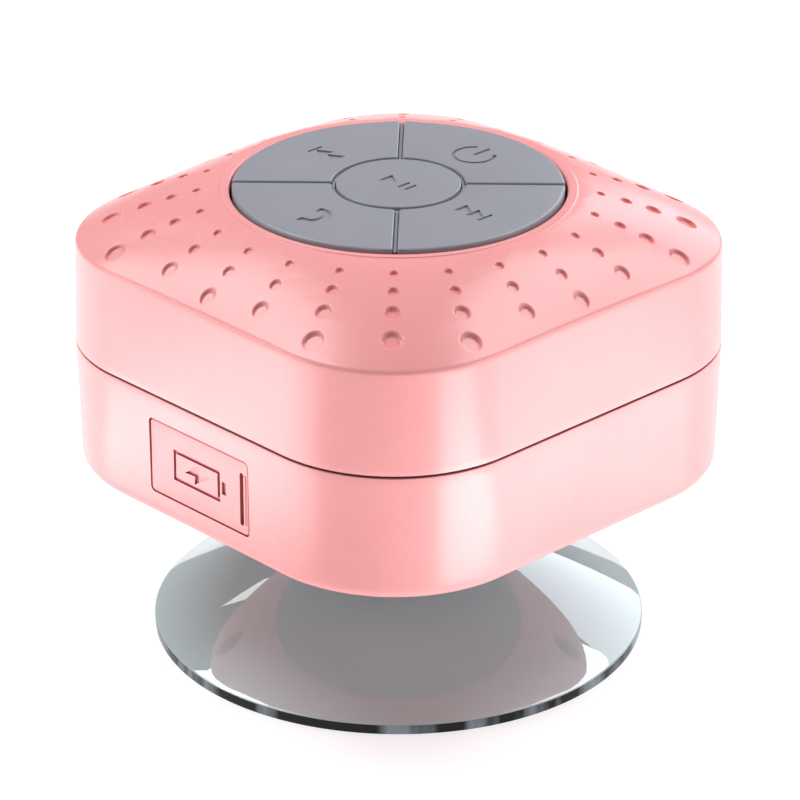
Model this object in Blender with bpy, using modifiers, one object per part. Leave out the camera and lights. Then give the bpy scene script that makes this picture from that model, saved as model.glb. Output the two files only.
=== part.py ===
"""Square shower speaker on a suction cup.

Metres, +Z up. The origin is the centre of the suction cup's lower rim, the axis of
the cup is Z, and the keys face +Z. The port cover is on the -Y side.
"""
from math import asin, cos, pi, radians, sin, sqrt, tan

import bmesh
import bpy
from mathutils import Matrix

MM = 0.001

# Outer form of the two shells, half widths measured from the axis
PARTING_Z = 42.1 * MM
PARTING_GAP = 0.34 * MM
PARTING_HALF = 36.0 * MM
PARTING_CORNER = 19.4 * MM
CREASE_Z = 56.3 * MM
CREASE_HALF = 35.48 * MM
CREASE_CORNER = 18.4 * MM
LIP_RADIUS = 23.9 * MM
LIP_Z = 63.15 * MM
BEAD_HEIGHT = 0.2 * MM
TOP_BULGE = 0.365
BASE_Z = 24.5 * MM
BASE_HALF = 35.8 * MM
BASE_CORNER = 19.8 * MM
BASE_FILLET = 1.6 * MM
WALL = 2.4 * MM
GAP = 0.3 * MM
RING_POINTS = 48

# Keypad
KEY_RADIUS = 21.8 * MM
KEY_TOP_Z = 63.8 * MM
KEY_BOTTOM_Z = 62.0 * MM
CENTRE_KEY_RADIUS = 8.2 * MM
GROOVE = 0.6 * MM
KEY_CENTRE = 13.9 * MM
POST_RADIUS = 1.5 * MM
POST_BOTTOM_Z = 58.2 * MM
POST_HOLE_RADIUS = 1.9 * MM
WELL_RADIUS = 22.15 * MM
WELL_FLOOR_Z = 60.1 * MM
WELL_UNDER_Z = 58.3 * MM
WEB_THICKNESS = 0.8 * MM
RIB_WIDTH = 0.4 * MM
RIB_TOP_Z = 63.35 * MM

# Screws that hold the case, and the board
CASE_SCREW_AT = 26.3 * MM
BOARD_SCREW_AT = 20.5 * MM
BOARD_Z = 54.0 * MM
BOARD_THICKNESS = 1.2 * MM
BOARD_HALF = 23.0 * MM

# Driver, from the face of its flange upwards
DRIVER_Z = 29.5 * MM
FLANGE_RADIUS = 20.2 * MM
DRIVER_SCREW_AT = 22.1 * MM
FLOOR_TOP_Z = 28.3 * MM
DRIVER_HOLE_RADIUS = 17.5 * MM

# Grille in the underside
GRILLE_RADIUS = 26.3 * MM
GRILLE_THICKNESS = 1.2 * MM
GRILLE_ROWS = ((12.0 * MM, 12), (16.6 * MM, 20), (20.9 * MM, 24))
GRILLE_HOLE_RADIUS = 1.0 * MM

# Suction cup
CUP_RADIUS = 33.3 * MM
CUP_RIM_Z = 1.44 * MM
CUP_SLOPE = 0.516
CUP_CURVE = 3.42
CUP_SEAT_RADIUS = 29.0 * MM
CUP_HOLLOW_Z = 6.6 * MM
STEM_RADIUS = 5.4 * MM

# Port cover in the -Y wall
COVER_LEFT_X = -9.0 * MM
COVER_WIDTH = 18.9 * MM
COVER_LOW_Z = 28.2 * MM
COVER_HEIGHT = 10.4 * MM
COVER_FACE_Y = -35.85 * MM
COVER_THICKNESS = 1.45 * MM
COVER_GAP = 0.15 * MM
POCKET_FLOOR_Y = -34.1 * MM
POCKET_BACK_Y = -32.6 * MM
PORT_X = 0.5 * MM
PORT_Z = 33.4 * MM

PINK = (0.90, 0.55, 0.55)
KEY_GREY = (0.36, 0.36, 0.41)
BLACK = (0.02, 0.02, 0.022)
STEEL = (0.56, 0.57, 0.58)


def start():
    """Empty the scene and make the collections for the parts and the cutters."""
    for obj in list(bpy.data.objects):
        bpy.data.objects.remove(obj, do_unlink=True)
    made = []
    for name in ("shower_speaker", "cutters"):
        collection = bpy.data.collections.new(name)
        bpy.context.scene.collection.children.link(collection)
        made.append(collection)
    return made


PARTS, CUTTERS = start()


def finish(obj, name, colour, roughness=0.5, metallic=0.0):
    """Name a part, give it a material of its own and shade its round faces smooth."""
    obj.name = name
    for collection in list(obj.users_collection):
        collection.objects.unlink(obj)
    PARTS.objects.link(obj)
    material = bpy.data.materials.new(name)
    material.use_nodes = True
    shader = material.node_tree.nodes["Principled BSDF"]
    shader.inputs["Base Color"].default_value = (*colour, 1.0)
    shader.inputs["Roughness"].default_value = roughness
    shader.inputs["Metallic"].default_value = metallic
    material.diffuse_color = (*colour, 1.0)
    obj.data.materials.clear()
    obj.data.materials.append(material)
    if obj.type == "MESH":
        obj.data.shade_smooth()
        obj.data.set_sharp_from_angle(angle=radians(35))
    return obj


def as_tool(obj):
    """Turn an object into a Boolean operand, kept apart from the parts."""
    for collection in list(obj.users_collection):
        collection.objects.unlink(obj)
    CUTTERS.objects.link(obj)
    obj.hide_render = True
    obj.display_type = "WIRE"
    return obj


def boolean(obj, tool, operation):
    """Cut a tool from an object, join it on, or keep what they share."""
    modifier = obj.modifiers.new(tool.name, "BOOLEAN")
    modifier.operation = operation
    modifier.solver = "EXACT"
    modifier.object = as_tool(tool)
    return obj


def cut(obj, tool):
    return boolean(obj, tool, "DIFFERENCE")


def join(obj, tool):
    return boolean(obj, tool, "UNION")


def mesh_object(name, build):
    """Make an object from what a function builds in a bmesh."""
    mesh = bpy.data.meshes.new(name)
    bm = bmesh.new()
    build(bm)
    bmesh.ops.recalc_face_normals(bm, faces=bm.faces)
    bm.to_mesh(mesh)
    bm.free()
    obj = bpy.data.objects.new(name, mesh)
    bpy.context.scene.collection.objects.link(obj)
    return obj


def square_radius(angle, half, corner):
    """Distance from the axis to the outline of a square with rounded corners."""
    angle = abs((angle + pi / 4) % (pi / 2) - pi / 4)
    centre = half - corner
    if half * tan(angle) <= centre:
        return half / cos(angle)
    along = centre * (cos(angle) + sin(angle))
    return along + sqrt(along ** 2 - 2 * centre ** 2 + corner ** 2)


def ring_angles():
    return [2 * pi * i / RING_POINTS for i in range(RING_POINTS)]


def square_ring(half, corner, z):
    ring = []
    for angle in ring_angles():
        radius = square_radius(angle, half, corner)
        ring.append((radius * cos(angle), radius * sin(angle), z))
    return ring


def round_ring(radius, z):
    return [(radius * cos(angle), radius * sin(angle), z) for angle in ring_angles()]


def top_ring(share):
    """A ring of the domed top, which runs from the round lip to the square crease."""
    drop = share - TOP_BULGE * share * (1 - share)
    z = LIP_Z + (CREASE_Z - LIP_Z) * drop
    ring = []
    for angle in ring_angles():
        edge = square_radius(angle, CREASE_HALF, CREASE_CORNER)
        radius = LIP_RADIUS + (edge - LIP_RADIUS) * share
        ring.append((radius * cos(angle), radius * sin(angle), z))
    return ring


def loft(name, rings, closed=False):
    """Skin a list of rings, capped at both ends or closed into a loop."""
    def build(bm):
        rows = [[bm.verts.new(point) for point in ring] for ring in rings]
        pairs = list(zip(rows, rows[1:]))
        if closed:
            pairs.append((rows[-1], rows[0]))
        for lower, upper in pairs:
            for i in range(RING_POINTS):
                j = (i + 1) % RING_POINTS
                bm.faces.new((lower[i], lower[j], upper[j], upper[i]))
        if not closed:
            bm.faces.new(rows[0])
            bm.faces.new(rows[-1])
    return mesh_object(name, build)


def turned(name, profile, closed, steps=32):
    """Turn a profile of (radius, height) about Z, from its top down the outer side."""
    def build(bm):
        verts = [bm.verts.new((radius, 0.0, z)) for radius, z in profile]
        for first, second in zip(verts, verts[1:]):
            bm.edges.new((first, second))
        if closed:
            bm.edges.new((verts[-1], verts[0]))
    obj = mesh_object(name, build)
    screw = obj.modifiers.new("turn", "SCREW")
    screw.axis = "Z"
    screw.steps = steps
    screw.render_steps = steps
    screw.use_merge_vertices = True
    screw.merge_threshold = 0.00001
    return obj


def tube(name, outer, inner, low, high, steps=32):
    """A plain ring or tube about Z."""
    return turned(name, [(outer, high), (outer, low), (inner, low), (inner, high)], True, steps)


def box(name, low, high, bevel=0.0, segments=2):
    """A box between two corners, with its edges rounded if bevel is given."""
    def build(bm):
        bmesh.ops.create_cube(bm, size=1.0)
        size = [b - a for a, b in zip(low, high)]
        centre = [(a + b) / 2 for a, b in zip(low, high)]
        bmesh.ops.scale(bm, vec=size, verts=bm.verts)
        bmesh.ops.translate(bm, vec=centre, verts=bm.verts)
        if bevel:
            bmesh.ops.bevel(bm, geom=bm.edges[:], offset=bevel, segments=segments,
                            profile=0.5, affect="EDGES")
    return mesh_object(name, build)


def cylinders(name, places, radius, low, high, sides=12):
    """Upright cylinders at several places, all in one mesh."""
    def build(bm):
        for x, y in places:
            middle = Matrix.Translation((x, y, (low + high) / 2))
            bmesh.ops.create_cone(bm, cap_ends=True, segments=sides, radius1=radius,
                                  radius2=radius, depth=high - low, matrix=middle)
    return mesh_object(name, build)


def prism(name, outline, low, high, bevel=0.0):
    """A flat outline raised from one height to another, its top edge rounded."""
    def build(bm):
        face = bm.faces.new([bm.verts.new((x, y, low)) for x, y in outline])
        raised = bmesh.ops.extrude_face_region(bm, geom=[face])
        top = [item for item in raised["geom"] if isinstance(item, bmesh.types.BMVert)]
        bmesh.ops.translate(bm, vec=(0, 0, high - low), verts=top)
        if bevel:
            edges = {edge for vert in top for edge in vert.link_edges}
            rim = [edge for edge in edges if all(vert in top for vert in edge.verts)]
            bmesh.ops.bevel(bm, geom=rim, offset=bevel, segments=1, affect="EDGES")
    return mesh_object(name, build)


def corners(distance):
    return [(sx * distance, sy * distance) for sx in (-1, 1) for sy in (-1, 1)]


def around(radius, count, first=0.0):
    turns = [first + 2 * pi * i / count for i in range(count)]
    return [(radius * cos(turn), radius * sin(turn)) for turn in turns]


KEY_PLACES = {
    "previous": (-KEY_CENTRE, 0.0),
    "next": (KEY_CENTRE, 0.0),
    "power": (0.0, KEY_CENTRE),
    "call": (0.0, -KEY_CENTRE),
    "play_pause": (0.0, 0.0),
}


# Case

def upper_shell():
    """The domed half with the round well for the keys and a bead round its edge."""
    bead = LIP_Z + BEAD_HEIGHT
    low = PARTING_Z + PARTING_GAP / 2
    inner_half = PARTING_HALF - WALL
    inner_corner = PARTING_CORNER - WALL
    tongue = inner_half - GAP
    rings = [
        round_ring(WELL_RADIUS, WELL_FLOOR_Z),
        round_ring(WELL_RADIUS, bead - 0.3 * MM),
        round_ring(WELL_RADIUS + 0.3 * MM, bead),
        round_ring(LIP_RADIUS - 0.5 * MM, bead),
        top_ring(0.0), top_ring(0.25), top_ring(0.5), top_ring(0.75), top_ring(0.95),
        square_ring(CREASE_HALF, CREASE_CORNER, CREASE_Z - 0.5 * MM),
        square_ring(PARTING_HALF, PARTING_CORNER, low),
        square_ring(tongue, inner_corner - GAP, low),
        square_ring(tongue, inner_corner - GAP, PARTING_Z - 1.5 * MM),
        square_ring(tongue - 1.0 * MM, inner_corner - 1.3 * MM, PARTING_Z - 1.5 * MM),
        square_ring(tongue - 1.0 * MM, inner_corner - 1.3 * MM, PARTING_Z + 1.2 * MM),
        square_ring(inner_half - 0.4 * MM, inner_corner - 0.4 * MM, PARTING_Z + 2.2 * MM),
        square_ring(33.0 * MM, 16.0 * MM, CREASE_Z - 1.4 * MM),
        round_ring(26.0 * MM, 60.0 * MM),
        round_ring(24.2 * MM, 60.4 * MM),
        round_ring(24.2 * MM, WELL_UNDER_Z),
    ]
    shell = loft("upper_shell", rings)
    join(shell, cylinders("upper_bosses", corners(CASE_SCREW_AT), 2.6 * MM,
                          PARTING_Z - 1.6 * MM, 57.1 * MM))
    join(shell, cylinders("board_posts", corners(BOARD_SCREW_AT), 2.2 * MM,
                          BOARD_Z + BOARD_THICKNESS + GAP, 60.1 * MM))
    cut(shell, cylinders("case_pilots", corners(CASE_SCREW_AT), 1.5 * MM,
                         PARTING_Z - 3 * MM, 52.5 * MM))
    cut(shell, cylinders("board_pilots", corners(BOARD_SCREW_AT), 1.1 * MM,
                         BOARD_Z, 58.8 * MM, 12))
    cut(shell, cylinders("post_holes", KEY_PLACES.values(), POST_HOLE_RADIUS,
                         WELL_UNDER_Z - 1 * MM, WELL_FLOOR_Z + 1 * MM))
    return finish(shell, "upper_shell", PINK, 0.3)


def lower_shell():
    """The lower half: seal groove, screw towers, grille seat and port pocket."""
    rim = PARTING_Z - PARTING_GAP / 2
    inner_half = PARTING_HALF - WALL
    inner_corner = PARTING_CORNER - WALL
    floor_low = BASE_Z + GRILLE_THICKNESS + GAP
    groove_z = rim - 1.2 * MM
    fillet = []
    for turn in (90, 60, 30, 0):
        inset = BASE_FILLET * (1 - cos(radians(turn)))
        z = BASE_Z + BASE_FILLET * (1 - sin(radians(turn)))
        fillet.append(square_ring(BASE_HALF - inset, BASE_CORNER - inset, z))
    rings = [
        round_ring(DRIVER_HOLE_RADIUS, FLOOR_TOP_Z - 1.5 * MM),
        round_ring(24.5 * MM, FLOOR_TOP_Z - 1.5 * MM),
        round_ring(24.5 * MM, floor_low),
        round_ring(GRILLE_RADIUS + GAP, floor_low),
        round_ring(GRILLE_RADIUS + GAP, BASE_Z),
        *fillet,
        square_ring(PARTING_HALF, PARTING_CORNER, rim),
        square_ring(35.5 * MM, 18.9 * MM, rim),
        square_ring(35.5 * MM, 18.9 * MM, groove_z),
        square_ring(34.1 * MM, 17.5 * MM, groove_z),
        square_ring(34.1 * MM, 17.5 * MM, rim),
        square_ring(inner_half, inner_corner, rim),
        square_ring(inner_half - 0.2 * MM, inner_corner + 0.4 * MM, FLOOR_TOP_Z),
        round_ring(DRIVER_HOLE_RADIUS, FLOOR_TOP_Z),
    ]
    shell = loft("lower_shell", rings, closed=True)
    towers = corners(CASE_SCREW_AT)
    join(shell, cylinders("towers", towers, 3.6 * MM, 25.5 * MM, PARTING_Z - 1.9 * MM))
    join(shell, cylinders("driver_bosses", around(DRIVER_SCREW_AT, 4, pi / 4), 1.5 * MM,
                          FLOOR_TOP_Z - 0.6 * MM, DRIVER_Z + 1.2 * MM, 12))
    join(shell, box("pocket_wall", (-11.4 * MM, -34.6 * MM, 27.0 * MM),
                    (12.0 * MM, POCKET_BACK_Y, 40.2 * MM)))
    join(shell, box("board_shelf", (-7.0 * MM, -33.0 * MM, 27.6 * MM),
                    (8.0 * MM, -28.0 * MM, PORT_Z - 2.8 * MM)))
    cut(shell, cylinders("screw_recesses", towers, 2.9 * MM, BASE_Z - 1 * MM, 31.0 * MM, 20))
    cut(shell, cylinders("screw_holes", towers, 1.5 * MM, 30.0 * MM, PARTING_Z, 16))
    cut(shell, cylinders("driver_pilots", around(DRIVER_SCREW_AT, 4, pi / 4), 1.1 * MM,
                         FLOOR_TOP_Z - 0.4 * MM, DRIVER_Z + 3 * MM, 12))
    gap = COVER_GAP
    cut(shell, box("pocket", (COVER_LEFT_X - gap, -38 * MM, COVER_LOW_Z - gap),
                   (COVER_LEFT_X + COVER_WIDTH + gap, POCKET_FLOOR_Y,
                    COVER_LOW_Z + COVER_HEIGHT + gap)))
    cut(shell, box("port_window", (PORT_X - 4.4 * MM, -36 * MM, PORT_Z - 2.1 * MM),
                   (PORT_X + 4.4 * MM, -31 * MM, PORT_Z + 2.1 * MM)))
    cut(shell, box("anchor_slot", (-8.5 * MM, -36 * MM, 31.7 * MM),
                   (-6.3 * MM, -31 * MM, 35.3 * MM)))
    return finish(shell, "lower_shell", PINK, 0.3)


def case_seal():
    """A rubber ring in the groove of the lower rim, with a lip that fills the gap above it."""
    rim = PARTING_Z - PARTING_GAP / 2
    low = rim - 0.9 * MM
    lip_low = rim + 0.05 * MM
    lip_high = rim + 0.27 * MM
    rings = [
        square_ring(33.9 * MM, 17.3 * MM, lip_high), square_ring(35.6 * MM, 19.0 * MM, lip_high),
        square_ring(35.6 * MM, 19.0 * MM, lip_low), square_ring(35.2 * MM, 18.6 * MM, lip_low),
        square_ring(35.2 * MM, 18.6 * MM, low), square_ring(34.4 * MM, 17.8 * MM, low),
        square_ring(34.4 * MM, 17.8 * MM, lip_low), square_ring(33.9 * MM, 17.3 * MM, lip_low),
    ]
    return finish(loft("case_seal", rings, closed=True), "case_seal", BLACK, 0.8)


def screw(name, x, y, head_z, head_radius, head_height, shank_radius, shank_length):
    """A slotted pan-head screw driven upwards, so its head is lowest."""
    top = head_z + head_height + shank_length
    profile = [
        (0.0, top), (0.6 * shank_radius, top), (shank_radius, top - 0.5 * MM),
        (shank_radius, head_z + head_height), (head_radius, head_z + head_height),
        (head_radius, head_z + 0.3 * head_height), (0.75 * head_radius, head_z), (0.0, head_z),
    ]
    body = turned(name, profile, False, 10)
    arm = 0.62 * head_radius
    slot = box(name + "_slot", (-arm, -0.2 * arm, head_z - 1 * MM),
               (arm, 0.2 * arm, head_z + 0.55 * head_height))
    slot.location = (x, y, 0)
    cut(body, slot)
    body.location = (x, y, 0)
    return finish(body, name, STEEL, 0.35, 1.0)


def case_screws():
    for index, (x, y) in enumerate(corners(CASE_SCREW_AT)):
        screw("case_screw_%d" % (index + 1), x, y, 29.0 * MM, 2.5 * MM, 1.7 * MM,
              1.2 * MM, 20.0 * MM)


# Keypad

def key_outline():
    """One quadrant between the diagonal grooves, centred on the +X side."""
    outline = []
    inner = CENTRE_KEY_RADIUS + GROOVE
    for radius, count, way in ((inner, 9, -1), (KEY_RADIUS, 19, 1)):
        reach = pi / 4 - asin(GROOVE / 2 / radius)
        for i in range(count):
            angle = way * reach * (2 * i / (count - 1) - 1)
            outline.append((radius * cos(angle), radius * sin(angle)))
    return outline


def key(name, place, turn):
    """A key cap with the post that reaches its switch. Its origin is on the post's axis."""
    x, y = place
    if name == "play_pause":
        outline = around(CENTRE_KEY_RADIUS, 32)
    else:
        outline = [(u * cos(turn) - v * sin(turn), u * sin(turn) + v * cos(turn))
                   for u, v in key_outline()]
    cap = prism("key_" + name, outline, KEY_BOTTOM_Z, KEY_TOP_Z, 0.25 * MM)
    cap.data.transform(Matrix.Translation((-x, -y, 0.0)))
    cap.location = (x, y, 0.0)
    join(cap, cylinders(name + "_post", [place], POST_RADIUS, POST_BOTTOM_Z,
                        KEY_BOTTOM_Z + 0.5 * MM))
    return finish(cap, "key_" + name, KEY_GREY, 0.55)


def keypad():
    turns = {"previous": pi, "next": 0.0, "power": pi / 2, "call": -pi / 2, "play_pause": 0.0}
    for name, place in KEY_PLACES.items():
        key(name, place, turns[name])
    keypad_web()


def keypad_web():
    """The sheet under the keys, with the ribs that fill the grooves between them."""
    low = WELL_FLOOR_Z + GAP
    foot = low + WEB_THICKNESS - 0.3 * MM
    middle = CENTRE_KEY_RADIUS + GROOVE / 2
    half = RIB_WIDTH / 2
    web = tube("keypad_web", KEY_RADIUS, 1.9 * MM, low, low + WEB_THICKNESS, 48)
    join(web, tube("ring_rib", middle + half, middle - half, foot, RIB_TOP_Z, 48))
    for index in range(4):
        rib = box("rib_%d" % index, (middle, -half, foot + 0.05 * MM),
                  (KEY_RADIUS - 0.2 * MM, half, RIB_TOP_Z - 0.05 * MM))
        rib.data.transform(Matrix.Rotation(pi / 2 * index + pi / 4, 4, "Z"))
        join(web, rib)
    outer = [place for name, place in KEY_PLACES.items() if name != "play_pause"]
    cut(web, cylinders("web_holes", outer, POST_HOLE_RADIUS, low - 1 * MM, low + 2 * MM))
    finish(web, "keypad_web", (0.16, 0.16, 0.19), 0.7)


# Electronics

def circuit_board():
    low = BOARD_Z
    high = BOARD_Z + BOARD_THICKNESS
    board = prism("circuit_board", rounded_plate(BOARD_HALF, 3.0 * MM), low, high)
    cut(board, cylinders("board_holes", corners(BOARD_SCREW_AT), 1.1 * MM,
                         low - 1 * MM, high + 1 * MM, 12))
    finish(board, "circuit_board", (0.02, 0.16, 0.07), 0.4)
    for index, (x, y) in enumerate(corners(BOARD_SCREW_AT)):
        screw("board_screw_%d" % (index + 1), x, y, low - 1.6 * MM, 1.7 * MM, 1.2 * MM,
              0.8 * MM, 4.6 * MM)


def rounded_plate(half, corner):
    outline = []
    for quarter in range(4):
        for i in range(5):
            angle = pi / 2 * (quarter + i / 4)
            sx = 1 if quarter in (0, 3) else -1
            sy = 1 if quarter in (0, 1) else -1
            outline.append((sx * (half - corner) + corner * cos(angle),
                            sy * (half - corner) + corner * sin(angle)))
    return outline


def switches():
    """A dome switch under each key post, with the button that the post presses."""
    low = BOARD_Z + BOARD_THICKNESS + GAP
    half = 2.25 * MM
    for name, (x, y) in KEY_PLACES.items():
        housing = box("switch_" + name, (x - half, y - half, low),
                      (x + half, y + half, low + 1.5 * MM), 0.2 * MM, 1)
        cut(housing, cylinders(name + "_bore", [(x, y)], 1.3 * MM, low + 0.3 * MM,
                               low + 3 * MM))
        finish(housing, "switch_" + name, BLACK, 0.5)
        button = cylinders("switch_button_" + name, [(x, y)], 1.0 * MM, low + 0.9 * MM,
                           POST_BOTTOM_Z - GAP)
        finish(button, "switch_button_" + name, (0.6, 0.58, 0.5), 0.5)


def chips():
    low = BOARD_Z + BOARD_THICKNESS + GAP
    for name, x, y, half in (("control_chip", 8.2, 8.2, 2.6), ("amplifier_chip", -8.2, 8.2, 2.0)):
        chip = box(name, ((x - half) * MM, (y - half) * MM, low),
                   ((x + half) * MM, (y + half) * MM, low + 0.9 * MM), 0.15 * MM, 1)
        finish(chip, name, BLACK, 0.45)
    profile = [(0.0, low + 1.4 * MM), (1.9 * MM, low + 1.4 * MM), (1.9 * MM, low), (0.0, low)]
    microphone = turned("microphone", profile, False, 24)
    microphone.location = (0, BOARD_HALF - 2.6 * MM, 0)
    finish(microphone, "microphone", STEEL, 0.3, 1.0)


def battery():
    pack = box("battery_pack", (-15 * MM, -15 * MM, 47.7 * MM), (15 * MM, 15 * MM, 52.7 * MM),
               0.7 * MM)
    finish(pack, "battery_pack", (0.55, 0.56, 0.58), 0.3, 0.8)
    tape = box("battery_tape", (-13 * MM, -13 * MM, 53.0 * MM), (13 * MM, 13 * MM, 53.7 * MM))
    finish(tape, "battery_tape", (0.75, 0.72, 0.62), 0.8)


def charging():
    """The charging board on its shelf, and the socket behind the cover."""
    low = PORT_Z - 2.5 * MM
    board = box("charging_board", (-5.5 * MM, -32.2 * MM, low), (9 * MM, -23 * MM, low + 0.8 * MM))
    finish(board, "charging_board", (0.02, 0.16, 0.07), 0.4)
    front = POCKET_BACK_Y + GAP
    socket = box("charging_port", (PORT_X - 3.75 * MM, front, PORT_Z - 1.3 * MM),
                 (PORT_X + 3.75 * MM, front + 5.5 * MM, PORT_Z + 1.3 * MM), 0.4 * MM, 2)
    cut(socket, box("socket_hollow", (PORT_X - 3.4 * MM, front - 1 * MM, PORT_Z - 0.95 * MM),
                    (PORT_X + 3.4 * MM, front + 4.5 * MM, PORT_Z + 0.95 * MM), 0.25 * MM, 1))
    finish(socket, "charging_port", STEEL, 0.25, 1.0)


def wire(name, points, colour, steps=9):
    """An insulated lead along a smooth curve through a few points."""
    route = []
    for i in range(len(points) - 1):
        ends = [points[max(i - 1, 0)], points[i], points[i + 1],
                points[min(i + 2, len(points) - 1)]]
        for k in range(steps // (len(points) - 1)):
            route.append(smooth_point(ends, k / (steps // (len(points) - 1))))
    route.append(points[-1])
    curve = bpy.data.curves.new(name, "CURVE")
    curve.dimensions = "3D"
    curve.bevel_depth = 0.5 * MM
    curve.bevel_resolution = 2
    curve.use_fill_caps = True
    spline = curve.splines.new("POLY")
    spline.points.add(len(route) - 1)
    for point, (x, y, z) in zip(spline.points, route):
        point.co = (x * MM, y * MM, z * MM, 1.0)
    obj = bpy.data.objects.new(name, curve)
    bpy.context.scene.collection.objects.link(obj)
    return finish(obj, name, colour, 0.5)


def smooth_point(ends, t):
    """A point between the middle two of four points, on a curve that passes both."""
    point = []
    for a, b, c, d in zip(*ends):
        point.append(0.5 * (2 * b + (c - a) * t + (2 * a - 5 * b + 4 * c - d) * t ** 2
                            + (3 * b - a - 3 * c + d) * t ** 3))
    return tuple(point)


def wires():
    """The leads from the driver, the battery and the charging board to the main board."""
    for name, side, colour in (("positive", 1, (0.5, 0.02, 0.02)), ("negative", -1, BLACK)):
        x = 2.2 * side
        wire("speaker_wire_" + name,
             [(x, 19.0, 31.6), (x, 20.6, 36), (x, 21.4, 45), (x, 20.4, 53.4)], colour)
        wire("battery_wire_" + name,
             [(x, -15.6, 50.2), (x, -17.4, 50.4), (x, -18.6, 51.6), (x, -18.8, 53.4)], colour)
        wire("charging_wire_" + name,
             [(x, -23.9, 32.6), (x, -24.0, 39), (x, -23.4, 47), (x, -21.6, 53.4)], colour)


# Driver

def driver_profile(name, points, closed, colour, roughness, metallic=0.0, steps=24):
    """A turned part of the driver, its heights counted from the flange's face."""
    profile = [(radius * MM, DRIVER_Z + height * MM) for radius, height in points]
    return finish(turned(name, profile, closed, steps), name, colour, roughness, metallic)


def driver():
    """A full-range driver that faces down, with its magnet on top."""
    frame_points = [(14.0, 7.8), (14.0, 6.8), (18.5, 1.5), (FLANGE_RADIUS / MM, 1.2),
                    (FLANGE_RADIUS / MM, 0.0), (17.8, 0.0), (17.8, 1.0), (13.3, 6.3),
                    (13.3, 7.0), (9.0, 7.0), (9.0, 7.8)]
    frame = driver_profile("driver_frame", frame_points, True, (0.06, 0.06, 0.065), 0.4, 0.6)
    for index in range(6):
        window = cylinders("frame_window_%d" % index, [(0, 0)], 2.0 * MM, 6 * MM, 20 * MM, 12)
        turn = Matrix.Rotation(2 * pi * index / 6 + pi / 6, 4, "Z")
        window.matrix_world = (Matrix.Translation((0, 0, DRIVER_Z + 4.1 * MM)) @ turn
                               @ Matrix.Rotation(pi / 2, 4, "Y"))
        cut(frame, window)
    driver_profile("front_plate", [(13.0, 10.1), (13.0, 8.1), (6.9, 8.1), (6.9, 10.1)], True,
                   STEEL, 0.35, 1.0)
    driver_profile("magnet", [(15.0, 15.1), (15.0, 10.4), (8.5, 10.4), (8.5, 15.1)], True,
                   (0.07, 0.07, 0.075), 0.5)
    driver_profile("yoke", [(0, 17.4), (13.2, 17.4), (13.5, 17.1), (13.5, 15.4), (5.6, 15.4),
                            (5.6, 8.1), (0, 8.1)], False, STEEL, 0.35, 1.0)
    driver_profile("voice_coil", [(6.5, 12.1), (6.5, 4.7), (5.95, 4.7), (5.95, 12.1)], True,
                   (0.7, 0.35, 0.15), 0.4, 0.7)
    driver_profile("cone", [(6.85, 5.1), (15.3, 1.7), (15.3, 1.2), (6.85, 4.6)], True,
                   (0.12, 0.12, 0.125), 0.6)
    driver_profile("dust_cap", [(0, 3.4), (3.5, 3.7), (6.3, 4.4), (6.3, 4.0), (3.5, 3.3),
                                (0, 3.0)], False, (0.05, 0.05, 0.055), 0.4)
    driver_profile("surround", [(15.6, 1.9), (16.4, 2.1), (17.1, 1.7), (17.5, 1.2), (17.5, 0.7),
                                (16.9, 1.3), (16.4, 1.6), (15.6, 1.4)], True, BLACK, 0.7)
    spider_points = [(7.2 + 1.9 * i, 5.9 + 0.2 * (i % 2)) for i in range(4)]
    spider_loop = [(radius, height + 0.35) for radius, height in spider_points]
    spider_loop += reversed(spider_points)
    driver_profile("spider", spider_loop, True, (0.6, 0.45, 0.15), 0.8)
    gasket = tube("driver_gasket", FLANGE_RADIUS, 17.9 * MM, FLOOR_TOP_Z + GAP, DRIVER_Z - GAP)
    finish(gasket, "driver_gasket", BLACK, 0.9)
    for index, (x, y) in enumerate(around(DRIVER_SCREW_AT, 4, pi / 4)):
        driver_screw("driver_screw_%d" % (index + 1), x, y)


def driver_screw(name, x, y):
    """A washer-head screw that clamps the flange's edge from above."""
    seat = DRIVER_Z + 1.5 * MM
    profile = [
        (0.0, seat + 1.1 * MM), (1.6 * MM, seat + 1.0 * MM), (2.4 * MM, seat + 0.4 * MM),
        (2.4 * MM, seat), (0.8 * MM, seat), (0.8 * MM, FLOOR_TOP_Z + 0.3 * MM),
        (0.0, FLOOR_TOP_Z + 0.3 * MM),
    ]
    body = turned(name, profile, False, 10)
    body.location = (x, y, 0)
    finish(body, name, STEEL, 0.35, 1.0)


# Underside

def rear_grille():
    """The perforated disc under the driver, with the socket that holds the cup's head."""
    top = BASE_Z + GRILLE_THICKNESS
    profile = [
        (0.0, 30.3 * MM), (6.2 * MM, 30.3 * MM), (6.5 * MM, 30.0 * MM), (6.5 * MM, top),
        (GRILLE_RADIUS, top), (GRILLE_RADIUS, BASE_Z), (3.8 * MM, BASE_Z),
        (3.8 * MM, 26.3 * MM), (5.0 * MM, 26.3 * MM), (5.0 * MM, 29.1 * MM), (0.0, 29.1 * MM),
    ]
    grille = turned("rear_grille", profile, False, 48)
    holes = [place for radius, count in GRILLE_ROWS for place in around(radius, count)]
    cut(grille, cylinders("grille_holes", holes, GRILLE_HOLE_RADIUS, BASE_Z - 1 * MM,
                          top + 1 * MM, 6))
    finish(grille, "rear_grille", (0.3, 0.3, 0.33), 0.5)
    mesh = tube("grille_mesh", 24.2 * MM, 6.9 * MM, top + 0.35 * MM, top + 0.75 * MM)
    finish(mesh, "grille_mesh", BLACK, 0.9)


def cup_top(radius):
    """Height of the cup's upper face at a distance from its axis."""
    inward = CUP_RADIUS - radius
    return CUP_RIM_Z + CUP_SLOPE * inward - CUP_CURVE * inward ** 2


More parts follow.
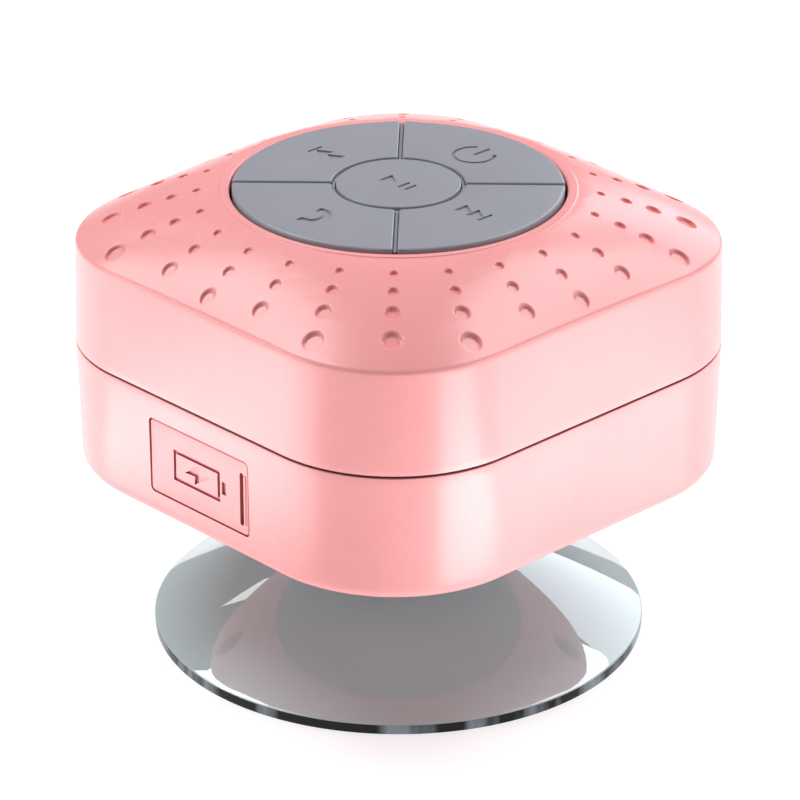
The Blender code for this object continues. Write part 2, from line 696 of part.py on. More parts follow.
def suction_cup():
    """The flexible cup, its stem, and the head that snaps into the grille's socket."""
    profile = [
        (0.0, 28.7 * MM), (3.4 * MM, 28.7 * MM), (4.6 * MM, 27.7 * MM), (4.6 * MM, 26.7 * MM),
        (3.4 * MM, 26.7 * MM), (3.4 * MM, 23.9 * MM), (STEM_RADIUS, 23.9 * MM),
        (STEM_RADIUS, 17.0 * MM), (5.9 * MM, 15.0 * MM), (7.2 * MM, 13.3 * MM),
    ]
    profile += [(radius * MM, cup_top(radius * MM)) for radius in (9, 12, 16, 21, 27)]
    profile += [(CUP_RADIUS, CUP_RIM_Z), (CUP_RADIUS, 0.25 * MM),
                (CUP_RADIUS - 0.25 * MM, 0.0), (CUP_SEAT_RADIUS, 0.0)]
    for i in range(1, 6):
        radius = CUP_SEAT_RADIUS * (1 - i / 6)
        profile.append((radius, CUP_HOLLOW_Z * (1 - (radius / CUP_SEAT_RADIUS) ** 2)))
    profile.append((0.0, CUP_HOLLOW_Z))
    cup = turned("suction_cup", profile, False, 48)
    return finish(cup, "suction_cup", (0.35, 0.37, 0.39), 0.08)


# Port cover

def port_cover():
    """The flap over the charging port. Its origin is on its hinge, the left outer edge."""
    hinge = (COVER_LEFT_X, COVER_FACE_Y, COVER_LOW_Z + COVER_HEIGHT / 2)
    half = COVER_HEIGHT / 2
    outline = []
    corner = 0.6 * MM
    for cx, cz, first in ((COVER_WIDTH - corner, half - corner, 0), (corner, half - corner, 1),
                          (corner, corner - half, 2), (COVER_WIDTH - corner, corner - half, 3)):
        for i in range(4):
            angle = pi / 2 * (first + i / 3)
            outline.append((cx + corner * cos(angle), cz + corner * sin(angle)))
    flap = prism("port_cover", outline, -COVER_THICKNESS, 0.0, 0.2 * MM)
    flap.data.transform(Matrix.Rotation(pi / 2, 4, "X"))
    flap.location = hinge
    plug = box("cover_plug", (PORT_X - 3.9 * MM, COVER_FACE_Y + 1.0 * MM, PORT_Z - 1.6 * MM),
               (PORT_X + 3.9 * MM, COVER_FACE_Y + 2.75 * MM, PORT_Z + 1.6 * MM), 0.3 * MM, 1)
    join(flap, plug)
    groove = box("finger_groove", (8.3 * MM, -37 * MM, 29.4 * MM),
                 (9.0 * MM, COVER_FACE_Y + 0.6 * MM, 36.9 * MM))
    cut(flap, groove)
    finish(flap, "port_cover", PINK, 0.4)


def cover_anchor():
    """The tab that holds the flap's strap inside the case."""
    plate = box("cover_anchor", (-8.9 * MM, POCKET_BACK_Y + GAP, 31.0 * MM),
                (-5.9 * MM, POCKET_BACK_Y + 1.2 * MM, 36.0 * MM), 0.2 * MM, 1)
    join(plate, box("anchor_stem", (-8.2 * MM, POCKET_FLOOR_Y + 0.05 * MM, 32.0 * MM),
                    (-6.6 * MM, POCKET_BACK_Y + 0.7 * MM, 35.0 * MM)))
    finish(plate, "cover_anchor", PINK, 0.5)


def main():
    upper_shell()
    lower_shell()
    case_seal()
    case_screws()
    keypad()
    circuit_board()
    switches()
    chips()
    battery()
    charging()
    wires()
    driver()
    rear_grille()
    suction_cup()
    port_cover()
    cover_anchor()


main()
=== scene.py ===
"""Looks of the square shower speaker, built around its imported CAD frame.

Metres, in the CAD's own frame: +Z out of the keypad, +Y towards the power key, the port
cover on the -Y side, and the origin at the centre of the suction cup's lower rim.
"""

from math import asin, atan2, cos, hypot, pi, radians, sin, sqrt, tan

import bmesh
import bpy
from mathutils import Matrix, Vector


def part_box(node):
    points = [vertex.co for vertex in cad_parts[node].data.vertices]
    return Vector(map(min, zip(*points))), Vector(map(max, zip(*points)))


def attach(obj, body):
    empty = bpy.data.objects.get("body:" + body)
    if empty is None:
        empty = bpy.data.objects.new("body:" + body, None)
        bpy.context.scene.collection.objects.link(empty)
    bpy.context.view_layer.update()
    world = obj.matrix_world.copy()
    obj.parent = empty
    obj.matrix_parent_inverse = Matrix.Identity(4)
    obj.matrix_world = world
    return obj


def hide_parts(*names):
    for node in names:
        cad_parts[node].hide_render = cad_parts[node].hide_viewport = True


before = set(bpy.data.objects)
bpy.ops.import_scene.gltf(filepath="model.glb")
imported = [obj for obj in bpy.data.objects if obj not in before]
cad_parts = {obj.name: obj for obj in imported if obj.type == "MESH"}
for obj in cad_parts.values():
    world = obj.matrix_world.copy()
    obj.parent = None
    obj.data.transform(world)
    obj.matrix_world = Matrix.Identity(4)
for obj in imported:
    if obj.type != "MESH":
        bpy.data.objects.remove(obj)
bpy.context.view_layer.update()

MM = 0.001

# What the frame gives
UPPER_LOW, UPPER_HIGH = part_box("upper_shell")
LOWER_LOW, LOWER_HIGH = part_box("lower_shell")
KEY_LOW, KEY_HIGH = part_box("key_next")
WEB_LOW, RIB_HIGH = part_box("keypad_web")
COVER_LOW, COVER_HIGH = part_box("port_cover")
PORT_LOW, PORT_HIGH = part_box("charging_port")
PORT_X = (PORT_LOW.x + PORT_HIGH.x) / 2
PORT_Z = (PORT_LOW.z + PORT_HIGH.z) / 2

# Outer form of the shells
HALF = UPPER_HIGH.x
CORNER = 19.4 * MM
RIM_Z = LOWER_HIGH.z
PARTING_Z = RIM_Z + 0.17 * MM
UPPER_RIM_Z = RIM_Z + 0.34 * MM
CREASE_Z = 56.3 * MM
CREASE_HALF = 35.48 * MM
CREASE_CORNER = 18.4 * MM
CREASE_ROUND = 0.45 * MM
RIM_ROUND = 0.1 * MM
LIP_RADIUS = 23.9 * MM
BEAD = 0.2 * MM
LIP_Z = UPPER_HIGH.z - BEAD
TOP_BULGE = 0.365
BASE_Z = LOWER_LOW.z
BASE_HALF = 35.8 * MM
BASE_CORNER = 19.8 * MM
BASE_ROUND = 1.7 * MM
WALL = 2.4 * MM
GAP = 0.3 * MM

# Steps around the shells: every dimple column spans eight of them
STEPS = 192
COLUMNS = 24
COLUMN_STEPS = STEPS // COLUMNS

# Dimples: distance from the axis, radius, depth
DIMPLES = (
    (26.44 * MM, 0.56 * MM, 0.42 * MM),
    (29.80 * MM, 0.74 * MM, 0.48 * MM),
    (33.36 * MM, 1.00 * MM, 0.52 * MM),
    (37.74 * MM, 1.32 * MM, 0.56 * MM),
)
# Rings of one dimple, from outside in: share of its radius, share of its depth
DIMPLE_RINGS = (
    (1.30, 0.0), (1.14, 0.0), (1.07, 0.03), (1.02, 0.12), (0.98, 0.32), (0.955, 0.62),
    (0.93, 0.84), (0.87, 0.96), (0.76, 1.0), (0.40, 1.0),
)

WEB_TOP_Z = WEB_LOW.z + 0.8 * MM
RIB_TOP = RIB_HIGH.z
KEY_RADIUS = KEY_HIGH.x
KEY_TOP = KEY_HIGH.z
CENTRE_KEY_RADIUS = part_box("key_play_pause")[1].x
GROOVE = 0.6 * MM
KEY_CENTRE = 13.9 * MM
WELL_RADIUS = KEY_RADIUS + 0.35 * MM
WELL_ROUND = 0.4 * MM
WELL_FLOOR_Z = WEB_LOW.z - GAP
WELL_UNDER_Z = WELL_FLOOR_Z - 1.8 * MM

CASE_SCREW_AT = 26.3 * MM
BOARD_SCREW_AT = 20.5 * MM
FLOOR_TOP_Z = 28.3 * MM
DRIVER_HOLE_RADIUS = 17.5 * MM
GRILLE_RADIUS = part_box("rear_grille")[1].x
POST_RADIUS = 1.5 * MM
POST_HOLE_RADIUS = 1.9 * MM


# Mesh helpers

def link(obj):
    bpy.context.scene.collection.objects.link(obj)
    return obj


def mesh_object(name, build, recalculate=True):
    """Make an object from what a function builds in a bmesh."""
    mesh = bpy.data.meshes.new(name)
    bm = bmesh.new()
    build(bm)
    if recalculate:
        bmesh.ops.recalc_face_normals(bm, faces=bm.faces)
    bm.to_mesh(mesh)
    bm.free()
    return link(bpy.data.objects.new(name, mesh))


def bake(obj):
    """Replace an object's mesh by what its modifiers make of it."""
    graph = bpy.context.evaluated_depsgraph_get()
    mesh = bpy.data.meshes.new_from_object(obj.evaluated_get(graph))
    obj.modifiers.clear()
    old = obj.data
    obj.data = mesh
    bpy.data.meshes.remove(old)
    return obj


def boolean(obj, tool, operation):
    modifier = obj.modifiers.new("cut", "BOOLEAN")
    modifier.operation = operation
    modifier.solver = "EXACT"
    modifier.object = tool
    bpy.context.view_layer.update()
    bake(obj)
    bpy.data.objects.remove(tool, do_unlink=True)
    return obj


def cut(obj, tool):
    return boolean(obj, tool, "DIFFERENCE")


def join(obj, tool):
    return boolean(obj, tool, "UNION")


def smooth(obj, angle=32):
    obj.data.shade_smooth()
    obj.data.set_sharp_from_angle(angle=radians(angle))
    return obj


def piece(obj, body, slot, *replaced, material=None):
    """Give a finished piece its material, its body and the CAD nodes it stands for.

    The material is the one named like the record's slot, unless another is named."""
    obj.data.materials.clear()
    obj.data.materials.append(MATERIALS[material or slot])
    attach(obj, body)
    if replaced:
        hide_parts(*replaced)
    return obj


# Outlines

def square_radius(angle, half, corner):
    """Distance from the axis to the outline of a square with rounded corners."""
    angle = abs((angle + pi / 4) % (pi / 2) - pi / 4)
    centre = half - corner
    if half * tan(angle) <= centre:
        return half / cos(angle)
    along = centre * (cos(angle) + sin(angle))
    return along + sqrt(along ** 2 - 2 * centre ** 2 + corner ** 2)


def step_angle(index):
    return 2 * pi * index / STEPS


def ring_of(place):
    """A ring of points whose (radius, height) is a function of the angle."""
    ring = []
    for index in range(STEPS):
        angle = step_angle(index)
        radius, z = place(angle)
        ring.append((radius * cos(angle), radius * sin(angle), z))
    return ring


def square_ring(half, corner, z):
    return ring_of(lambda angle: (square_radius(angle, half, corner), z))


def parallel_ring(half, z):
    """A ring that runs at an even distance inside the case's outline at the parting line."""
    return square_ring(half, half - (HALF - CORNER), z)


def round_ring(radius, z):
    return ring_of(lambda angle: (radius, z))


def quarter(count):
    """The sine and the cosine at even steps over a quarter turn."""
    turns = [pi / 2 * step / (count - 1) for step in range(count)]
    return [(sin(turn), cos(turn)) for turn in turns]


def crease_radius(angle):
    return square_radius(angle, CREASE_HALF, CREASE_CORNER)


def top_height(radius, angle):
    """Height of the domed top, which runs from the round lip to the square crease."""
    share = (radius - LIP_RADIUS) / (crease_radius(angle) - LIP_RADIUS)
    return LIP_Z + (CREASE_Z - LIP_Z) * (share - TOP_BULGE * share * (1 - share))


def around(radius, count, first=0.0):
    turns = [first + 2 * pi * index / count for index in range(count)]
    return [(radius * cos(turn), radius * sin(turn)) for turn in turns]


def corners(distance):
    return [(sx * distance, sy * distance) for sx in (-1, 1) for sy in (-1, 1)]


def arc(centre, radius, first, last, count):
    """Points of an arc in degrees, ends included."""
    points = []
    for index in range(count):
        angle = radians(first + (last - first) * index / (count - 1))
        points.append((centre[0] + radius * cos(angle), centre[1] + radius * sin(angle)))
    return points


# Solids

def bridge(bm, lower, upper):
    count = len(lower)
    for index in range(count):
        after = (index + 1) % count
        bm.faces.new((lower[index], lower[after], upper[after], upper[index]))


def cylinders(name, places, radius, low, high, sides=32, top_radius=None):
    """Upright cylinders or cones at several places, all in one mesh."""
    def build(bm):
        for x, y in places:
            middle = Matrix.Translation((x, y, (low + high) / 2))
            bmesh.ops.create_cone(bm, cap_ends=True, segments=sides, radius1=radius,
                                  radius2=radius if top_radius is None else top_radius,
                                  depth=high - low, matrix=middle)
    return mesh_object(name, build)


def box(name, low, high, bevel=0.0, segments=3):
    def build(bm):
        bmesh.ops.create_cube(bm, size=1.0)
        bmesh.ops.scale(bm, vec=[b - a for a, b in zip(low, high)], verts=bm.verts)
        bmesh.ops.translate(bm, vec=[(a + b) / 2 for a, b in zip(low, high)], verts=bm.verts)
        if bevel:
            bmesh.ops.bevel(bm, geom=bm.edges[:], offset=bevel, segments=segments,
                            profile=0.5, affect="EDGES")
    return mesh_object(name, build)


def prism(name, outline, low, high, round_top=0.0, round_bottom=0.0):
    """A flat outline raised from one height to another, with rounded rims."""
    def build(bm):
        face = bm.faces.new([bm.verts.new((x, y, low)) for x, y in outline])
        bottom = list(face.verts)
        raised = bmesh.ops.extrude_face_region(bm, geom=[face])
        top = [item for item in raised["geom"] if isinstance(item, bmesh.types.BMVert)]
        bmesh.ops.translate(bm, vec=(0, 0, high - low), verts=top)
        for rim, width in ((top, round_top), (bottom, round_bottom)):
            if not width:
                continue
            chosen = set(rim)
            edges = {edge for vert in rim for edge in vert.link_edges}
            edges = [edge for edge in edges if set(edge.verts) <= chosen]
            bmesh.ops.bevel(bm, geom=edges, offset=width, segments=4, profile=0.5,
                            affect="EDGES")
    return mesh_object(name, build)


def turned(name, profile, closed, steps=96):
    """Turn a profile of (radius, height) about Z, from its top down the outer side."""
    def build(bm):
        verts = [bm.verts.new((radius, 0.0, z)) for radius, z in profile]
        for first, second in zip(verts, verts[1:]):
            bm.edges.new((first, second))
        if closed:
            bm.edges.new((verts[-1], verts[0]))
    obj = mesh_object(name, build)
    screw = obj.modifiers.new("turn", "SCREW")
    screw.axis = "Z"
    screw.steps = steps
    screw.render_steps = steps
    screw.use_merge_vertices = True
    screw.merge_threshold = 0.000001
    bpy.context.view_layer.update()
    return bake(obj)


def rounded_corner(before, here, after, reach, steps):
    """Points of a short curve in place of a corner, given the ways to its neighbours."""
    start = here + before.normalized() * reach
    end = here + after.normalized() * reach
    shares = [step / steps for step in range(steps + 1)]
    return [tuple(start * (1 - t) ** 2 + here * 2 * t * (1 - t) + end * t ** 2) for t in shares]


def rounded_profile(points):
    """Replace each corner of a profile that carries a radius by a short arc.

    A point is (radius, height) or (radius, height, rounding)."""
    rounded = []
    count = len(points)
    for index, point in enumerate(points):
        if len(point) == 2 or not point[2]:
            rounded.append(point[:2])
            continue
        here = Vector(point[:2])
        before = Vector(points[index - 1][:2]) - here
        after = Vector(points[(index + 1) % count][:2]) - here
        reach = min(point[2], before.length * 0.49, after.length * 0.49)
        rounded += rounded_corner(before, here, after, reach, 4)
    return rounded


def facing(obj):
    """Turn a piece drawn in (x, z) with its front upwards so that it faces -Y."""
    obj.data.transform(Matrix.Rotation(pi / 2, 4, "X"))
    return obj


def rounded_rectangle(left, right, low, high, corner, count=7):
    outline = []
    for cx, cy, first in ((right - corner, high - corner, 0), (left + corner, high - corner, 90),
                          (left + corner, low + corner, 180), (right - corner, low + corner, 270)):
        outline += arc((cx, cy), corner, first, first + 90, count)
    return outline


def skin(bm, rings, closed):
    """Skin rings of equal length and return their rows of vertices."""
    rows = [[bm.verts.new(point) for point in ring] for ring in rings]
    for lower, upper in zip(rows, rows[1:]):
        bridge(bm, lower, upper)
    if closed:
        bridge(bm, rows[-1], rows[0])
    return rows


# Case

def wall_radius(angle, z):
    """Distance from the axis to the side wall, above or below the parting line."""
    middle = square_radius(angle, HALF, CORNER)
    if z >= PARTING_Z:
        share = (z - UPPER_RIM_Z) / (CREASE_Z - UPPER_RIM_Z)
        return middle + (crease_radius(angle) - middle) * share
    share = (RIM_Z - z) / (RIM_Z - BASE_Z)
    return middle + (square_radius(angle, BASE_HALF, BASE_CORNER) - middle) * share


def wall_ring(z, inset=0.0):
    return ring_of(lambda angle: (wall_radius(angle, z) - inset, z))


def row_edges(angle):
    """Distances from the axis that part the rows of dimples at one angle."""
    edge = crease_radius(angle)
    third = min(35.45 * MM, edge - 0.9 * MM)
    return (LIP_RADIUS, 28.1 * MM, 31.5 * MM, third, edge - CREASE_ROUND)


def dome_point(angle, radius):
    return Vector((radius * cos(angle), radius * sin(angle), top_height(radius, angle)))


def has_dimple(column, row):
    """The outermost row has dimples only in the three columns at each corner."""
    return row < 3 or column % 6 in (2, 3, 4)


def dome(bm):
    """The domed top with its dimples. Returns its inner and its outer row of vertices."""
    grid = {}

    def vertex(index, level):
        index %= STEPS
        if (index, level) not in grid:
            angle = step_angle(index)
            edges = row_edges(angle)
            row, part = divmod(level, COLUMN_STEPS)
            radius = edges[row]
            if part:
                radius += (edges[row + 1] - radius) * part / COLUMN_STEPS
            grid[index, level] = bm.verts.new(dome_point(angle, radius))
        return grid[index, level]

    half = COLUMN_STEPS // 2
    side = COLUMN_STEPS
    for column in range(COLUMNS):
        left = column * COLUMN_STEPS - half
        for row in range(4):
            low = row * side
            if not has_dimple(column, row):
                for i in range(left, left + side):
                    for j in range(low, low + side):
                        bm.faces.new((vertex(i, j), vertex(i + 1, j), vertex(i + 1, j + 1),
                                      vertex(i, j + 1)))
                continue
            border = [vertex(left + i, low) for i in range(side)]
            border += [vertex(left + side, low + j) for j in range(side)]
            border += [vertex(left + side - i, low + side) for i in range(side)]
            border += [vertex(left, low + side - j) for j in range(side)]
            dimple(bm, border, step_angle(column * COLUMN_STEPS), *DIMPLES[row])
    inner = [vertex(index, 0) for index in range(STEPS)]
    outer = [vertex(index, 4 * side) for index in range(STEPS)]
    return inner, outer


def dimple(bm, border, turn, distance, size, depth):
    """A round pit in one cell of the dome, joined to the cell's border."""
    count = len(border)
    centre = Vector((distance * cos(turn), distance * sin(turn), 0))
    outward = Vector((cos(turn), sin(turn), 0))
    across = Vector((-sin(turn), cos(turn), 0))
    before = border
    for share, sink in DIMPLE_RINGS:
        ring = []
        for index in range(count):
            angle = 2 * pi * index / count - 3 * pi / 4
            way = across * cos(angle) + outward * sin(angle)
            spot = centre + way * size * share
            height = top_height(spot.to_2d().length, atan2(spot.y, spot.x)) - depth * sink
            ring.append(bm.verts.new((spot.x, spot.y, height)))
        bridge(bm, before, ring)
        before = ring
    middle = bm.verts.new((centre.x, centre.y, top_height(distance, turn) - depth))
    for index in range(count):
        bm.faces.new((before[index], before[(index + 1) % count], middle))


def crease_point(angle, share):
    """A point on the curve that rounds the crease, from the dome (0) to the wall (1)."""
    edge = crease_radius(angle)
    start = edge - CREASE_ROUND
    low = CREASE_Z - 1.1 * CREASE_ROUND
    a, b, c = (1 - share) ** 2, 2 * share * (1 - share), share ** 2
    return (a * start + b * edge + c * wall_radius(angle, low),
            a * top_height(start, angle) + b * CREASE_Z + c * low)


def crease_rings():
    """The rounded edge between the domed top and the wall, from the top down."""
    return [ring_of(lambda angle: crease_point(angle, step / 6)) for step in range(1, 7)]


def rounded_rim(z, way):
    """Rings that round the wall's edge at the parting line, from the wall inwards."""
    return [wall_ring(z + way * RIM_ROUND * (1 - sine), RIM_ROUND * (1 - cosine))
            for sine, cosine in quarter(4)]


def upper_shell():
    """The upper half of the case: dome, key well, walls, tongue, bosses and posts."""
    tongue = HALF - WALL - GAP
    low = UPPER_LOW.z

    def build(bm):
        inner, outer = dome(bm)
        well = [round_ring(LIP_RADIUS - 0.05 * MM - 0.5 * MM * sine, LIP_Z + BEAD * (1 - cosine))
                for sine, cosine in quarter(5)]
        well += [round_ring(WELL_RADIUS + WELL_ROUND * (1 - sine),
                            LIP_Z + BEAD - WELL_ROUND * (1 - cosine))
                 for sine, cosine in quarter(6)]
        well += [round_ring(WELL_RADIUS, LIP_Z - 1.2 * MM),
                 round_ring(WELL_RADIUS, WELL_FLOOR_Z + 0.2 * MM),
                 round_ring(WELL_RADIUS - 0.2 * MM, WELL_FLOOR_Z)]
        rows = skin(bm, well, False)
        bridge(bm, inner, rows[0])
        bm.faces.new(rows[-1])
        outside = crease_rings()
        outside += [wall_ring(z * MM) for z in (55.2, 54.5, 51.5, 48.5, 45.5, 43.2)]
        outside += rounded_rim(UPPER_RIM_Z, 1)
        outside += [
            parallel_ring(tongue, UPPER_RIM_Z),
            parallel_ring(tongue, low + 0.15 * MM),
            parallel_ring(tongue - 0.15 * MM, low),
            parallel_ring(tongue - 1.0 * MM, low),
            parallel_ring(tongue - 1.0 * MM, PARTING_Z + 1.2 * MM),
            parallel_ring(tongue - 0.1 * MM, PARTING_Z + 2.2 * MM),
            square_ring(33.0 * MM, 16.0 * MM, CREASE_Z - 1.4 * MM),
            round_ring(26.0 * MM, 60.0 * MM),
            round_ring(24.2 * MM, 60.4 * MM),
            round_ring(24.2 * MM, WELL_UNDER_Z),
        ]
        rows = skin(bm, outside, False)
        bridge(bm, outer, rows[0])
        bm.faces.new(rows[-1])

    shell = mesh_object("case_upper_half", build)
    join(shell, cylinders("bosses", corners(CASE_SCREW_AT), 2.6 * MM, PARTING_Z - 1.6 * MM,
                          57.1 * MM))
    join(shell, cylinders("posts", corners(BOARD_SCREW_AT), 2.2 * MM, 55.5 * MM, 60.1 * MM))
    cut(shell, cylinders("pilots", corners(CASE_SCREW_AT), 1.5 * MM, PARTING_Z - 3 * MM,
                         52.5 * MM))
    cut(shell, cylinders("board_pilots", corners(BOARD_SCREW_AT), 1.1 * MM, 54.0 * MM, 58.8 * MM))
    cut(shell, cylinders("post_holes", KEY_PLACES.values(), POST_HOLE_RADIUS, WELL_UNDER_Z - 1 * MM,
                         WELL_FLOOR_Z + 0.1 * MM))
    smooth(shell, 30)
    piece(shell, "case", "pink_plastic", "upper_shell")


def lower_shell():
    """The lower half of the case: walls, gasket groove, floor, screw towers and port."""
    floor_low = BASE_Z + 1.5 * MM
    groove_z = RIM_Z - 1.2 * MM
    seat = GRILLE_RADIUS + GAP
    groove_outer, groove_inner = 35.5 * MM, 34.1 * MM

    def build(bm):
        fillet = [wall_ring(BASE_Z + BASE_ROUND * (1 - sine), BASE_ROUND * (1 - cosine))
                  for sine, cosine in reversed(quarter(9))]
        rings = [
            round_ring(DRIVER_HOLE_RADIUS, FLOOR_TOP_Z - 1.5 * MM),
            round_ring(24.5 * MM, FLOOR_TOP_Z - 1.5 * MM),
            round_ring(24.5 * MM, floor_low),
            round_ring(seat, floor_low),
            round_ring(seat, BASE_Z + 0.25 * MM),
            round_ring(seat + 0.08 * MM, BASE_Z + 0.08 * MM),
            round_ring(seat + 0.25 * MM, BASE_Z),
            *fillet,
            *[wall_ring(z * MM) for z in (27.0, 30.5, 34.0, 37.5, 40.6)],
            *rounded_rim(RIM_Z, -1),
            parallel_ring(groove_outer, RIM_Z),
            parallel_ring(groove_outer, groove_z),
            parallel_ring(groove_inner, groove_z),
            parallel_ring(groove_inner, RIM_Z),
            parallel_ring(HALF - WALL, RIM_Z),
            square_ring(HALF - WALL - 0.2 * MM, CORNER - WALL + 0.4 * MM, FLOOR_TOP_Z),
            round_ring(DRIVER_HOLE_RADIUS, FLOOR_TOP_Z),
        ]
        skin(bm, rings, True)

    shell = mesh_object("case_lower_half", build)
    towers = corners(CASE_SCREW_AT)
    driver_screws = around(22.1 * MM, 4, pi / 4)
    join(shell, cylinders("towers", towers, 3.6 * MM, 25.5 * MM, PARTING_Z - 1.9 * MM, 40))
    join(shell, cylinders("driver_bosses", driver_screws, 1.5 * MM, FLOOR_TOP_Z - 0.6 * MM,
                          30.7 * MM))
    join(shell, box("pocket_wall", (-11.4 * MM, -34.6 * MM, 27.0 * MM),
                    (12.0 * MM, -32.6 * MM, 40.2 * MM)))
    join(shell, box("board_shelf", (-7.0 * MM, -33.0 * MM, 27.6 * MM),
                    (8.0 * MM, -28.0 * MM, 30.6 * MM)))
    cut(shell, cylinders("screw_recesses", towers, 2.9 * MM, BASE_Z - 1 * MM, 31.0 * MM, 48))
    cut(shell, cylinders("recess_edges", towers, 3.3 * MM, BASE_Z - 0.1 * MM,
                         BASE_Z + 0.35 * MM, 48, 2.9 * MM))
    cut(shell, cylinders("screw_holes", towers, 1.5 * MM, 30.0 * MM, PARTING_Z))
    cut(shell, cylinders("driver_pilots", driver_screws, 1.1 * MM, FLOOR_TOP_Z - 0.4 * MM,
                         32.5 * MM))
    gap = 0.15 * MM
    pocket = rounded_rectangle(COVER_LOW.x - gap, COVER_HIGH.x + gap, COVER_LOW.z - gap,
                               COVER_HIGH.z + gap, 0.75 * MM)
    cut(shell, facing(prism("pocket", pocket, 34.1 * MM, 38 * MM)))
    window = rounded_rectangle(PORT_X - 4.4 * MM, PORT_X + 4.4 * MM, PORT_Z - 2.1 * MM,
                               PORT_Z + 2.1 * MM, 0.6 * MM)
    cut(shell, facing(prism("window", window, 31 * MM, 36 * MM)))
    cut(shell, box("anchor_slot", (-8.5 * MM, -36 * MM, 31.7 * MM),
                   (-6.3 * MM, -31 * MM, 35.3 * MM)))
    smooth(shell, 30)
    piece(shell, "case", "pink_plastic", "lower_shell")
    # Painted shade: the pocket's upright walls get a darker pink material.
    shade_walls(shell, 34.3 * MM, 35.95 * MM, gap + 0.05 * MM)


def case_seal():
    """The gasket in the lower rim, whose lip shows as a dark line at the parting."""
    low, high = (corner.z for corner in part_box("case_seal"))
    lip = RIM_Z + 0.03 * MM
    high += 0.03 * MM
    edge = 0.05 * MM
    profile = [
        (33.9 * MM, high), (35.8 * MM - edge, high), (35.8 * MM, high - edge), (35.8 * MM, lip),
        (35.2 * MM, lip), (35.2 * MM, low), (34.4 * MM, low), (34.4 * MM, lip), (33.9 * MM, lip),
    ]

    def build(bm):
        skin(bm, [parallel_ring(half, z) for half, z in profile], True)
    seal = smooth(mesh_object("case_gasket", build))
    piece(seal, "case", "black_rubber", "case_seal")


# Keypad

KEY_PLACES = {
    "previous": (-KEY_CENTRE, 0.0),
    "next": (KEY_CENTRE, 0.0),
    "power": (0.0, KEY_CENTRE),
    "call": (0.0, -KEY_CENTRE),
    "play_pause": (0.0, 0.0),
}
KEY_TURNS = {"previous": 180, "next": 0, "power": 90, "call": -90, "play_pause": 0}
GLYPH_DEPTH = 0.24 * MM
KEY_ROUND = 0.2 * MM


def key_outline():
    """One quadrant between the diagonal grooves, centred on the +X side."""
    outline = []
    for radius, count, way in ((CENTRE_KEY_RADIUS + GROOVE, 25, -1), (KEY_RADIUS, 57, 1)):
        reach = pi / 4 - asin(GROOVE / 2 / radius)
        for index in range(count):
            angle = way * reach * (2 * index / (count - 1) - 1)
            outline.append(Vector((radius * cos(angle), radius * sin(angle))))
    return outline


def soften(outline, radius):
    """Round the corners of an outline that turn by more than 50 degrees."""
    softened = []
    count = len(outline)
    for index, point in enumerate(outline):
        here = Vector(point)
        before = Vector(outline[index - 1]) - here
        after = Vector(outline[(index + 1) % count]) - here
        if pi - before.angle(after) < radians(50):
            softened.append(tuple(here))
            continue
        reach = min(radius, before.length * 0.9, after.length * 0.9)
        softened += rounded_corner(before, here, after, reach, 5)
    return softened


def triangle(tip_x, base_x, half):
    """A sideways triangle with its tip at one x and its upright side at another."""
    return [(tip_x, 0.0), (base_x, half), (base_x, -half)]


def rectangle(left, right, low, high):
    return [(left, low), (right, low), (right, high), (left, high)]


def stroke(points, width):
    """The outline of a band of one width that follows open points."""
    left, right = [], []
    for index, point in enumerate(points):
        ahead = Vector(points[min(index + 1, len(points) - 1)])
        behind = Vector(points[max(index - 1, 0)])
        way = (ahead - behind).normalized()
        side = Vector((-way.y, way.x)) * width / 2
        left.append(tuple(Vector(point) + side))
        right.append(tuple(Vector(point) - side))
    return left + right[::-1]


def skip_glyph(way):
    """Two triangles and a bar, pointing to +X or -X. Millimetres."""
    half = 1.27
    shapes = [triangle(-0.25, -2.4, half), triangle(1.95, -0.2, half),
              rectangle(1.95, 2.4, -half, half)]
    return [[(way * x, y) for x, y in shape] for shape in shapes]


def play_glyph():
    """A triangle and two bars. Millimetres."""
    return [triangle(-0.35, -2.5, 1.27), rectangle(0.8, 1.25, -1.05, 1.05),
            rectangle(2.0, 2.45, -1.05, 1.05)]


def power_glyph():
    """An open ring with a bar in its gap. Millimetres."""
    return [stroke(arc((0, 0), 2.75, 126, 404, 49), 0.5), rectangle(-0.25, 0.25, 0.0, 2.95)]


def handset_glyph():
    """A telephone handset: a curved grip with an earpiece at each end. Millimetres."""
    grip = arc((0, 0), 2.72, -66, 66, 33)
    palm = arc((0, 0), 1.55, 50, -50, 21)
    outline = grip + [(-0.35, 2.55), (-0.3, 1.3)] + palm + [(-0.3, -1.3), (-0.35, -2.55)]
    tilt = Matrix.Rotation(radians(6), 2)
    middle = Vector((-0.2, -1.6))
    return [[tuple(middle + tilt @ Vector(point)) for point in soften(outline, 0.45)]]


def glyph(key):
    """The outlines engraved in one key, in metres in the keypad's plane."""
    shapes = {
        "previous": lambda: skip_glyph(-1),
        "next": lambda: skip_glyph(1),
        "play_pause": play_glyph,
        "power": power_glyph,
        "call": handset_glyph,
    }[key]()
    x, y = KEY_PLACES[key]
    return [[(x + u * MM, y + v * MM) for u, v in shape] for shape in shapes]


def engrave(obj, shapes, low, high, turn=None):
    """Cut shapes into an object one by one, since some of them touch."""
    for index, shape in enumerate(shapes):
        tool = prism("glyph", shape, low - index * 0.004 * MM, high)
        if turn:
            turn(tool)
        cut(obj, tool)


